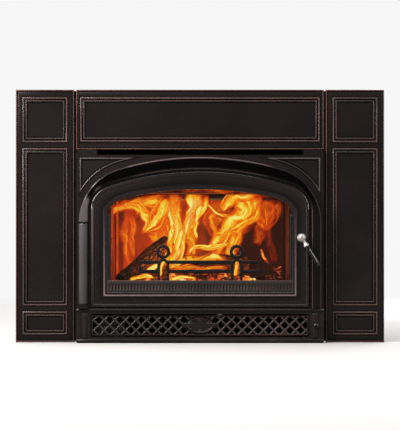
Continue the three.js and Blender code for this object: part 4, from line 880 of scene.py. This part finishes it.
def lattice():
    """Crossed rounded bars on the two diagonals, x / pitch_x ± z / pitch_z odd, inside a plain border."""
    low, high, reach = 23.4, 78.1, 314.5
    pitch_x, pitch_z = 15.55, 15.15
    grids = []
    for sign in (1, -1):
        for k in np.arange(-23, 24, 2):
            x = pitch_x * (k - sign * (np.array([low, high]) - grille_mid) / pitch_z)
            if np.all(np.abs(x) > reach):
                continue
            x = np.clip(x, -reach, reach)
            z = grille_mid - sign * (x / pitch_x - k) * pitch_z
            line = np.stack([x, z], axis=1)
            rod = bar(line, y=-39.3, half=3.6, depth=3.05, power=2.2, sides=14, worn=0.6)
            # Painted highlight on the bars, stronger on one diagonal, which evens out the light.
            rod["marks"]["pale"] = rod["marks"]["worn"] * (0.45 if sign == 1 else 0.1)
            grids.append(rod)
    border = [(1.0, -36.4, 0), (.2, -37.4, .1), (0, -40.4, .1), (.5, -41.8, .6), (1.4, -42.35, .6),
              (3.2, -42.35, .3), (4.1, -41.9, .6), (4.6, -40.6, .1), (4.4, -37.2, 0), (3.6, -36.4, 0)]
    points, worn = loft((lambda d: rectangle(-318, 318, 21, 80.5, d), border))
    grids.append(grid(points, "rows columns", worn=worn))
    skin("lattice_net", grids, lattice_enamel, "grille", ["grille_lattice"], crease=45)


def bare_oval():
    """The bare oval in the middle of the lattice, on a strap."""
    wide, high = 38.8, 23
    angle = np.linspace(0, 2 * math.pi, 72, endpoint=False)

    def oval(inward):
        return np.stack([
            (wide - inward) * np.cos(angle), grille_mid + (high - inward) * np.sin(angle)], axis=1)

    side = [(-4.6, -36.4, 0), (-4.6, -42.3, 0), (-.4, -42.45, 0)]
    dome = [(5.4, -41.6, 0), (7, -41.7, 0), (11, -42.3, 0), (17, -42.7, 0), (22.9, -42.8, 0)]
    points, worn = loft((oval, [*side, *bead(.1, 4.8, -41.9, 2.9, 11, .7), *dome]))
    strap_line = [(x, grille_mid) for x in (-54.5, -52, 52, 54.5)]
    strap = bar(strap_line, y=-39.6, half=7.2, depth=3.4, power=4.0, sides=20, worn=0.2)
    # Painted shade on the oval's sides: a black ring in the gap round it.
    dark = (np.arange(len(points)) < len(side))[:, None]
    plate = grid(points, "columns", True, worn=worn, dark=dark)
    skin("lattice_oval", [plate, strap], enamel, "grille", crease=45)


def ledge(z, height):
    """A rounded rail along the grille, drawn in at its ends."""
    right = [(300, 1), (361, 1), (362.3, .8), (362.9, .55)]
    shape = [(-x, size) for x, size in right[::-1]] + right
    line = [(x, z) for x, _ in shape]
    rail = bar(line, y=-50.0, half=height / 2, depth=4.5, power=3.4, sides=20, worn=0.5)
    return drawn_in(rail, [size for _, size in shape])


def pilaster(x):
    """A rounded pilaster on a post, drawn in at both ends."""
    levels = (12.6, 13.4, 15.5, 20, grille_mid, 81, 85.8, 87.8, 88.6)
    post = bar([(x, z) for z in levels], y=-50.2, half=8.2, depth=2.9, power=2.6, sides=24, worn=0.5)
    return drawn_in(post, [.3, .7, .93, 1, 1, 1, .93, .7, .3])


lattice()
bare_oval()
skin("grille_rails", [ledge(95.75, 9.7), ledge(7.0, 8.2)], lattice_enamel, "grille")
skin("grille_pilasters", [pilaster(-338), pilaster(338)], lattice_enamel, "grille")
knob = turned([
    (0, -18), (3.2, -17.8), (6.2, -16.4), (8.1, -14), (8.5, -11.6), (7.9, -9), (5.6, -6.9), (3.7, -5.4),
    (3.5, -4), (5.2, -2.6), (6.7, -1.6), (6.9, -.3), (0, -.3)], (340, -50, grille_mid), (0, 1, 0), 40)
skin("grille_pull", [knob], knob_enamel, "grille", ["grille_knob"], crease=45)


# ------------------------------------------------------------------ andirons
def rack():
    """Two arched legs with a ring on each, joined by two rails, and a rectangular loop outside each."""
    y, deep, rail_levels = 15.0, 5.0, (234.9, 207.6)
    leg_x, leg_radius, leg_foot, spring = 108.7, 13.5, 147.8, 227.75
    ring_radius, ring_z = 16.2, 265.8
    near, far, post_half = 122.0, 181.0, 3.75
    half_turn = np.linspace(0, math.pi, 17)
    full_turn = np.linspace(0, 2 * math.pi, 40, endpoint=False)

    def arc(x, z, radius, turn):
        return np.stack([x + radius * np.cos(turn), z + radius * np.sin(turn)], axis=1)

    def rail(x0, x1, z):
        return bar([(x0, z), ((x0 + x1) / 2, z), (x1, z)], y, half=5.2, depth=deep - 1, power=4.0)

    grids = []
    for sign in (-1, 1):
        x = sign * leg_x
        leg = np.vstack([
            [[x + leg_radius, leg_foot], [x + leg_radius, 190]], arc(x, spring, leg_radius, half_turn),
            [[x - leg_radius, 190], [x - leg_radius, leg_foot]]])
        grids.append(bar(leg, y, half=4.25, depth=deep, power=3.2, sides=20))
        ring = arc(x, ring_z, ring_radius, full_turn)
        grids.append(bar(ring, y, half=4.7, depth=deep, power=2.6, sides=20, looped=True))
        for z in rail_levels:
            loop = [(sign * near, z), (sign * (near + far) / 2, z), (sign * (far - 1), z)]
            grids.append(bar(loop, y, half=5.2, depth=deep - 1, power=4.0))
        post = [(sign * (far - post_half), z) for z in (203.2, 221, 239.4)]
        grids.append(bar(post, y, half=post_half, depth=deep - .8, power=4.0))
    grids += [rail(-95.5, 95.5, z) for z in rail_levels]
    skin("andirons", grids, blued_iron, "root", ["andiron_rack"], crease=50)


rack()


# ------------------------------------------------------------------ logs and embers
def ripple(angle, along, seed, lobes):
    """A sum of a few sine waves round and along a log, with seeded phases."""
    wave = np.random.default_rng(seed)
    total = 0
    for k in range(1, lobes + 1):
        a, b, c = wave.uniform(0, 6.28, 3)
        total = total + np.sin(k * angle + a + 2.2 * np.sin(along * (1.5 + k) + b)) / k ** 0.9 \
            + 0.5 * np.sin(k * 3 * angle + c + 14 * along) / (k + 2)
    return total


def log(name, node, start, end, radius, seed, height=1.0, glow=0.5):
    """A split log: radius R (0.90 + 0.055 ripple) with long bark ridges, cut square and cracked at its
    ends. The side that faces the fire is marked as lit, for painted firelight, and it glows on its underside."""
    start, end = np.array(start, float), np.array(end, float)
    length = np.linalg.norm(end - start)
    way = (end - start) / length
    u = np.cross(way, [0, 0, 1.0])
    u /= np.linalg.norm(u)
    v = np.cross(u, way)
    t = np.linspace(0, 1, 56)[:, None]
    angle = np.linspace(0, 2 * math.pi, 72, endpoint=False)[None]
    shape = 0.90 + 0.055 * ripple(angle, t, seed, 5)
    ridge = 0.03 * np.sin(angle * 17 + 5 * np.sin(5 * t + seed)) * np.sin(9 * t * math.pi + 3 * angle)
    r = radius * np.clip(shape + ridge, 0.6, 1.0)
    bend = 0.06 * radius * np.sin(t * math.pi * 1.3 + seed)
    points = (start + t[:, :, None] * length * way
              + (r * np.cos(angle) + bend)[:, :, None] * u + (r * np.sin(angle) * height)[:, :, None] * v)
    under = np.clip(-np.sin(angle) * 0.8 + 0.25, 0, 1) * (0.6 + 0.4 * np.sin(3 * t * math.pi + seed))
    fire_way = np.array([0.55, -0.62, -0.55])
    facing = np.cos(angle) * (u @ fire_way) + np.sin(angle) * (v @ fire_way)
    grids = [grid(
        points, "columns", along=t * length * 0.001, round=angle * radius * 0.001,
        glow=np.clip(under, 0, 1) * glow, cut=0.0,
        lit=np.clip(1.25 * facing - 0.1, 0, 1) * np.clip(t * 3 - 0.2, 0, 1))]
    for ring, outward in ((points[0], -way), (points[-1], way)):
        inner = np.linspace(1, 0, 7)[:, None, None]
        centre = ring.mean(axis=0)
        dish = centre + (ring - centre)[None] * inner - 1.5 * outward * (1 - inner) ** 0.5
        dish[0] = ring
        dish[-1] = dish[-1].mean(axis=0)
        depth = 1 - inner[:, :, 0]
        grids.append(grid(
            dish, "columns", cut=np.clip(depth * 6, 0, 1), along=depth * radius * 0.001,
            round=angle * radius * 0.001))
    skin(name, grids, charred_wood, "root", [node], crease=60)


log("split_log_left", "log_leaning", (-232, 66, 174.4), (-94, 152, 287.4), 33, seed=3, height=.98, glow=.35)
log("split_log_back", "log_back", (-150, 235, 215.7), (150, 240, 215.7), 40, seed=5, glow=.9)
log("split_log_middle", "log_middle", (-48, 112, 210), (132, 122, 210), 34, seed=8, glow=.9)
log("split_log_right", "log_right", (160, 84, 179.9), (236, 120, 179.9), 32, seed=9, height=.98, glow=.25)

hearth = 147.75


def ember_mound():
    """The bed of embers: a low mound whose height is a smooth hump with seeded lumps, on a flat base."""
    left, right, front, back = -174.5, 144.5, 46.5, 284
    gx, gy = np.meshgrid(np.linspace(left, right, 90), np.linspace(front, back, 60), indexing="ij")
    edge = np.clip(np.minimum.reduce([gx - left, right - gx, gy - front, back - gy]) / 26, 0, 1)
    lumps = sum(
        np.sin(gx * a + p) * np.sin(gy * b + q)
        for a, b, p, q in zip(chance.uniform(.08, .35, 9), chance.uniform(.08, .35, 9),
                              chance.uniform(0, 6, 9), chance.uniform(0, 6, 9))) / 4
    height = hearth + 0.15 + (24.5 + 3 * np.clip(lumps, -1, 1)) * np.sqrt(edge)
    glow = np.clip(1 - np.abs(gx + 40) / 150, 0, 1)
    levels = np.minimum(height, 175.2), np.full_like(gx, hearth)
    skin("ember_mound", [grid(np.stack([gx, gy, gz], axis=2), glow=glow) for gz in levels], embers,
         "root", ["ember_bed"], crease=60)


def ember_lumps():
    """Loose coals in front of the bed and on it: each a ball of 6 by 8 points, squashed and turned, and
    hotter near three places."""
    hot_spots, spot_size, bed_front = (-160, -68, 148), 26, 48
    grids = []
    theta = np.linspace(0, math.pi, 6)[:, None]
    phi = np.linspace(0, 2 * math.pi, 8, endpoint=False)[None]
    ball = np.stack([
        np.sin(theta) * np.cos(phi), np.sin(theta) * np.sin(phi), np.cos(theta) + 0 * phi], axis=2)
    for _ in range(150):
        size = chance.uniform(4, 11) * np.array([1.25, 1.0, chance.uniform(.55, .9)])
        x, y = chance.uniform(-178, 178), chance.uniform(24, 120)
        level = 147.7 if y < bed_front else 150 + min(26, y - 46)
        hot = sum(math.exp(-((x - spot) / spot_size) ** 2) for spot in hot_spots)
        rough = 1 + chance.uniform(-.18, .18, (6, 8, 1))
        rough[0], rough[-1] = 1, 1
        turn = chance.uniform(0, math.pi)
        shape = ball * rough * size
        c, s = math.cos(turn), math.sin(turn)
        points = np.stack([
            x + c * shape[..., 0] - s * shape[..., 1], y + s * shape[..., 0] + c * shape[..., 1],
            level + size[2] * .9 + shape[..., 2]], axis=2)
        grids.append(grid(points, "columns", glow=chance.uniform(-.4, .8) + .5 * hot))
    skin("ember_lumps", grids, embers, crease=60)


def burning_twig():
    """A thin forked twig across the right-hand log, alight at its tip and leaning towards the room. Its
    lines hold (x, z, radius), and its glow is given at four shares of its length."""
    twig = [(184, 272, 2.4), (190, 250, 3.6), (206, 230, 3.2), (226, 210, 2.6), (240, 196, 1.8)]
    fork = [(222, 213, 2.2), (232, 214, 2.2), (242, 221, 1.4)]
    prong = [(229, 207, 2.1), (236, 205, 1.9), (243, 207, 1.3)]
    grids = []
    for control, count, glow in (
            (twig, 28, [.32, .25, -.6, .1]), (fork, 14, [-.1, 0, .05, .05]),
            (prong, 10, [-.1, 0, .05, .05])):
        line = smooth_line(control, count)
        rod = bar(line[:, :2], y=70.0, half=1.0, depth=1.0, power=2.0, sides=10)
        drawn_in(rod, line[:, 2])
        share = np.linspace(0, 1, count)[:, None]
        rod["points"][:, :, 1] += 30 * (1 - share)
        rod["marks"] = {"glow": graph(share, zip([0, .35, .6, 1], glow))}
        grids.append(rod)
    skin("burning_twig", grids, embers, crease=60)


ember_mound()
ember_lumps()
burning_twig()

# ------------------------------------------------------------------ flames
fire_half, fire_low, fire_high, eye_level = 259, 150, 436, 374.6


def flame(control, warmth, bulge, seed, rows=56, columns=13):
    """A ribbon of flame along a smooth line of (x, z, width, y): it tapers to nothing at both ends and
    bows out in the middle. Its map runs across it, and along it in tenths of a metre. x and z are given
    as seen from the front, and spread with depth by 1 + (y + 40) / 6000. It stays between the side
    bricks, over the floor brick and under the baffle board, and it may rise higher in front of that."""
    board_front, front_rise = 68, 22
    line = smooth_line(control, rows)
    spread = 1 + (line[:, 3] + 40) / 6000
    x, z = line[:, 0] * spread, eye_level + (line[:, 1] - eye_level) * spread
    half, y = line[:, 2:3] / 2, line[:, 3:4]
    way = np.stack([np.gradient(x), np.gradient(z)], axis=1)
    step = np.linalg.norm(way, axis=1)
    way /= step[:, None]
    u = np.linspace(-1, 1, columns)[None]
    share = np.linspace(0, 1, rows)[:, None]
    px = np.clip(x[:, None] - way[:, 1:2] * u * half, -fire_half, fire_half)
    pz = np.clip(z[:, None] + way[:, 0:1] * u * half, fire_low, fire_high + front_rise * (y < board_front))
    py = y - bulge * (1 - u ** 2)
    ends = np.clip(share / 0.10, 0, 1) * np.clip((1 - share) / 0.22, 0, 1) ** 0.6
    return grid(
        np.stack([px, py, pz], axis=2), warmth=warmth * ends, seed=seed * 7.3, map_u=(u + 1) / 2,
        map_v=(np.cumsum(step) / 100)[:, None])


def tongue(places, warmth, near, far, bulge, seed, threads=0):
    """A flame through (x, y, width) places of the fire's enlarged picture, whose pixels have that scale
    in the plane of the glass. Its depth goes from near to far, and bright threads, each a narrow ribbon
    in front of it, wander across its width."""
    scale, picture_left, picture_top = 0.3937, -308.6, 477.5
    x, y, width = np.array(places, float).T
    line = np.stack([scale * x + picture_left, picture_top - scale * y], axis=1)
    width = scale * width
    depth = np.linspace(near, far, len(line))
    ribbons = [flame(np.column_stack([line, width, depth]), warmth, bulge, seed)]
    normal = across(line)
    for k in range(threads):
        drift = chance.uniform(-.36, .36) + 0.16 * np.sin(np.linspace(0, 5, len(line)) + chance.uniform(0, 6))
        middle = line + normal * (drift * width)[:, None]
        narrow = width * chance.uniform(.28, .46)
        control = np.column_stack([middle, narrow, depth - bulge - 3 - 2 * k])
        ribbons.append(flame(control, warmth * .8, 1, seed + .37 * (k + 1)))
    return ribbons


def flames(name, tongues):
    """Ribbons of flame as one open mesh, with the map that the flame's streaks follow."""
    ribbons = [ribbon for row in tongues for ribbon in tongue(*row)]
    mesh = skin(name, ribbons, flame_look, "root", crease=180, closed=False).data
    across_map, along_map = (np.zeros(len(mesh.vertices), np.float32) for _ in range(2))
    mesh.attributes["map_u"].data.foreach_get("value", across_map)
    mesh.attributes["map_v"].data.foreach_get("value", along_map)
    corner = np.zeros(len(mesh.loops), np.int32)
    mesh.loops.foreach_get("vertex_index", corner)
    mesh.uv_layers.new(name="flow").data.foreach_set(
        "uv", np.stack([across_map[corner], along_map[corner]], axis=1).ravel())


wall = [(0, z, 540, 296) for z in (150, 300, 452)]
wall_points = flame(wall, warmth=1, bulge=0, seed=0, rows=8, columns=8)["points"]
skin("fire_backdrop", [grid(wall_points)], fire_glow, crease=180, closed=False)

# Each flame: places (x, y, width) in the fire's picture, warmth, near, far, bulge, seed, threads.
flames("flames_far", [
    ([(250, 760, 110), (235, 560, 130), (225, 400, 160), (280, 240, 200), (340, 130, 220)],
     .50, 262, 250, 8, 1),
    ([(400, 640, 190), (440, 480, 230), (470, 330, 260), (440, 200, 300), (350, 100, 300)],
     .62, 255, 240, 12, 2, 1),
    ([(560, 580, 150), (520, 400, 200), (500, 260, 240), (540, 110, 320)], .62, 248, 236, 12, 3, 1),
    ([(720, 680, 180), (720, 500, 200), (700, 340, 230), (760, 200, 280), (820, 90, 320)],
     .68, 250, 236, 14, 4, 1),
    ([(900, 640, 200), (930, 460, 200), (900, 320, 230), (930, 200, 300), (900, 90, 320)],
     .62, 252, 240, 12, 5, 1),
    ([(980, 640, 180), (1040, 460, 200), (1090, 320, 260), (1120, 190, 320), (1090, 90, 340)],
     .70, 258, 240, 16, 6, 1),
    ([(1180, 500, 90), (1240, 370, 190), (1270, 240, 240), (1200, 100, 280)], .52, 262, 246, 12, 7, 1),
    ([(1340, 640, 110), (1310, 500, 110), (1290, 380, 130), (1350, 200, 120)], .30, 264, 256, 8, 8),
])
flames("flames_middle", [
    ([(560, 680, 160), (600, 560, 150), (628, 450, 150), (612, 330, 150), (590, 230, 190), (620, 90, 280)],
     1.25, 190, 90, 20, 11, 2),
    ([(655, 440, 60), (700, 300, 120), (735, 200, 160), (760, 80, 250)], 1.12, 180, 88, 12, 12, 2),
    ([(105, 260, 90), (180, 205, 110), (290, 180, 120), (420, 160, 140), (560, 130, 170)],
     .84, 96, 92, 8, 13, 2),
    ([(200, 200, 50), (300, 195, 110), (370, 260, 120), (400, 310, 110), (372, 370, 60), (345, 415, 20)],
     .92, 88, 92, 6, 14, 1),
    ([(540, 120, 110), (510, 220, 150), (450, 310, 140), (395, 365, 60), (350, 412, 18)],
     .90, 84, 90, 6, 15, 2),
    ([(300, 600, 50), (272, 460, 74), (285, 350, 80), (255, 240, 70)], .62, 200, 190, 6, 16, 1),
    ([(765, 455, 30), (742, 350, 96), (775, 240, 130), (820, 100, 170)], .84, 178, 92, 8, 17, 1),
    ([(850, 520, 60), (905, 400, 96), (870, 310, 90), (900, 230, 80)], .72, 186, 150, 8, 18, 1),
    ([(870, 540, 140), (950, 400, 160), (1035, 300, 200), (1110, 220, 240), (1120, 80, 300)],
     .98, 170, 92, 14, 19, 2),
    ([(1000, 540, 80), (1065, 390, 130), (1110, 300, 150), (1170, 200, 180), (1200, 90, 200)],
     .88, 164, 90, 10, 20, 1),
    ([(930, 235, 50), (1000, 165, 130), (1090, 115, 150), (1220, 100, 130)], .94, 86, 88, 6, 21, 1),
    ([(1262, 395, 20), (1320, 300, 110), (1358, 220, 120), (1350, 140, 120)], .62, 150, 96, 8, 22, 1),
    ([(1180, 110, 120), (1205, 220, 150), (1240, 320, 120), (1268, 395, 24)], .68, 100, 140, 8, 23, 1),
    ([(830, 170, 24), (900, 240, 44), (985, 268, 40), (1045, 245, 20)], .84, 90, 92, 4, 24),
    ([(300, 118, 50), (480, 92, 60), (680, 82, 70), (860, 82, 60)], .22, 64, 64, 3, 25),
    ([(620, 84, 70), (800, 80, 80), (1000, 88, 80), (1200, 110, 80), (1340, 160, 60)],
     .44, 62, 62, 3, 26),
])
flames("flames_near", [
    ([(690, 560, 20), (745, 500, 44), (850, 497, 60), (960, 482, 44), (1015, 470, 16)],
     1.1, 78, 78, 4, 31, 1),
    ([(540, 635, 70), (690, 590, 100), (800, 578, 110), (900, 575, 110), (1020, 610, 60)],
     .80, 76, 76, 6, 32, 1),
    ([(880, 590, 60), (940, 500, 84), (985, 430, 74), (1030, 350, 34)], .86, 90, 110, 6, 33, 1),
    ([(550, 650, 70), (600, 530, 84), (635, 430, 70), (650, 340, 34)], 1.1, 92, 100, 6, 34),
    ([(480, 730, 60), (500, 650, 60), (520, 590, 50), (540, 510, 20)], .96, 60, 70, 5, 35),
    ([(1045, 730, 54), (1058, 650, 60), (1060, 600, 44), (1056, 550, 14)], .90, 60, 62, 5, 36),
    ([(385, 685, 50), (430, 655, 70), (465, 630, 44), (500, 600, 12)], 1.5, 44, 48, 4, 37),
    ([(575, 560, 60), (560, 480, 74), (572, 400, 66), (592, 320, 24)], 1.0, 96, 100, 5, 39, 1),
    ([(250, 744, 26), (330, 724, 50), (400, 716, 50), (452, 736, 20)], 1.15, 38, 38, 3, 40),
    ([(560, 746, 20), (640, 724, 50), (720, 728, 40), (762, 746, 16)], 1.0, 38, 38, 3, 41),
    ([(560, 690, 40), (680, 655, 66), (800, 662, 56), (920, 650, 66), (1015, 660, 40)],
     .72, 56, 58, 4, 38, 1),
])

# ------------------------------------------------------------------ finishes of the carried-over nodes
looks = {
    enamel: ["front_casting", "grille_frame"],
    # Painted shade: the hinge column's node takes the darker moulding enamel, which hides its ears.
    moulding_enamel: ["door_hinge_column"],
    hearth_glass: ["door_glass"],
    rope: ["glass_tape", "door_rope"],
    steel: [
        "glass_retainer", "door_hinge_pin_top", "door_hinge_pin_bottom", "latch_keeper", "latch_spindle",
        "latch_pawl", "spindle_nut", "grille_pin_top", "grille_pin_bottom", "air_shutter"],
    nickel: ["air_lever"],
    black_sheet: [
        "air_tube_1", "air_tube_2", "surround_left_strap", "surround_right_strap", "base_plate",
        "firebox_floor", "firebox_shell", "firebox_top", "flue_collar", "fan_motor", "fan_housing"],
    # Painted shade: the parts behind the lattice take the near-black sheet.
    shade_black_sheet: ["control_plate", "air_duct", "firebox_stand"],
    galvanised: ["jacket_wrap", "jacket_top", "fan_rotor"],
    side_brick: ["brick_left", "brick_right"],
    back_brick: ["brick_back"],
    floor_brick: ["brick_floor", "baffle_board"],
    matte_plastic: ["fan_speed_knob", "fan_switch", "power_inlet"],
}
for look, nodes in looks.items():
    for node in nodes:
        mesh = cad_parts[node].data
        mesh.materials.clear()
        mesh.materials.append(look)


# ------------------------------------------------------------------ stage, light and camera
def lamp(name, kind, place, aim, size, power, colour):
    """An area lamp of (width, height) that looks at a point, or a point lamp of that radius."""
    data = bpy.data.lights.new(name, kind)
    data.energy, data.color = power, colour
    made = bpy.data.objects.new(name, data)
    scene.collection.objects.link(made)
    made.location = place
    if kind == "AREA":
        data.shape, data.size, data.size_y = "RECTANGLE", *size
        way = np.array(aim, float) - place
        flat = math.hypot(way[0], way[1])
        made.rotation_euler = (math.pi / 2 + math.atan2(way[2], flat), 0, math.atan2(-way[0], way[1]))
    else:
        data.shadow_soft_size = size


def floor():
    """A pale round floor that fades into the background, and that throws little light back up."""
    middle_y, level, sides = 0.1, -0.0006, 64
    angle = np.linspace(0, 2 * math.pi, sides, endpoint=False)[None]
    radius = np.array([0, .8, 1.6, 2.6, 4.0])[:, None]
    points = np.stack([
        radius * np.cos(angle), middle_y + radius * np.sin(angle), level + 0 * radius * angle], axis=2)
    mesh = bpy.data.meshes.new("floor")
    mesh.from_pydata(points.reshape(-1, 3).tolist(), [], quads(len(radius), sides, "columns").tolist())
    made = bpy.data.objects.new("floor", mesh)
    scene.collection.objects.link(made)
    f = Finish("pale_floor")
    x, y = f.part("X"), f.part("Y") - middle_y
    far = ((x * x + y * y) ** 0.5).between(1.5, 3.6)
    camera_ray = f.node("LightPath").outputs["Is Camera Ray"]
    tone = f.blend(camera_ray, (0.16, 0.155, 0.15), (0.84, 0.83, 0.82))
    pale, clear = f.node("BsdfDiffuse", tone), f.node("BsdfTransparent")
    mixed = f.node("MixShader", far, pale.outputs[0], clear.outputs[0])
    f.node("OutputMaterial", mixed.outputs[0])
    mesh.materials.append(f.made)


def background():
    """The world: pale to the camera and through glass, a soft grey dome that is darker in front as the
    gloss shows it, and a light that is weaker from the front."""
    f = Finish("studio", "worlds")
    scene.world = f.made
    rays = f.node("LightPath").outputs
    behind = f.part("Y", f.node("TexCoord").outputs["Generated"])
    light = behind.between(-0.6, 0.4, 0.26, 0.85)
    gloss = behind.between(-0.9, 0.3, 0.10, 0.85)
    seen = f.number("Math", rays["Is Camera Ray"], rays["Is Transmission Ray"], operation="MAXIMUM")
    strength = f.mix(seen, f.mix(rays["Is Glossy Ray"], light, gloss), 0.93)
    sky = f.node("Background", (1.0, 1.0, 1.0), strength)
    f.node("OutputWorld", sky.outputs[0])


floor()
background()
lamp("key", "AREA", (-1.9, -1.75, 1.75), (-.1, 0, .5), (0.8, 1.3), 78, (1.0, 0.97, 0.94))
lamp("above", "AREA", (-0.5, -2.0, 3.1), (0, 0, .4), (2.6, 0.9), 22, (1.0, 0.98, 0.96))
lamp("fill", "AREA", (2.9, -2.8, 1.75), (0, 0, .38), (0.5, 1.1), 26, (0.96, 0.97, 1.0))
lamp("back", "AREA", (1.6, 3.2, 1.8), (0, .3, .4), (1.8, 1.8), 60, (1, 1, 1))
lamp("fire_core", "POINT", (-0.02, .15, .30), None, 0.06, 2.2, (1.0, 0.45, 0.14))
lamp("fire_left", "POINT", (-0.16, .06, .33), None, 0.04, 0.5, (1.0, 0.38, 0.10))
lamp("fire_right", "POINT", (0.14, .09, .30), None, 0.04, 0.4, (1.0, 0.38, 0.10))

# The camera stands 6 m in front of the plane in which the picture is 1.261 m wide.
sensor, distance, picture_width = 36.0, 6.0, 1.261
camera_data = bpy.data.cameras.new("camera")
camera_data.sensor_width = sensor
camera_data.lens = sensor * distance / picture_width
camera = bpy.data.objects.new("camera", camera_data)
scene.collection.objects.link(camera)
camera.location = (0.0001, -6.04, eye_level / 1000)
camera.rotation_euler = (math.pi / 2, 0, 0)
scene.camera = camera
scene.view_settings.view_transform = "Standard"
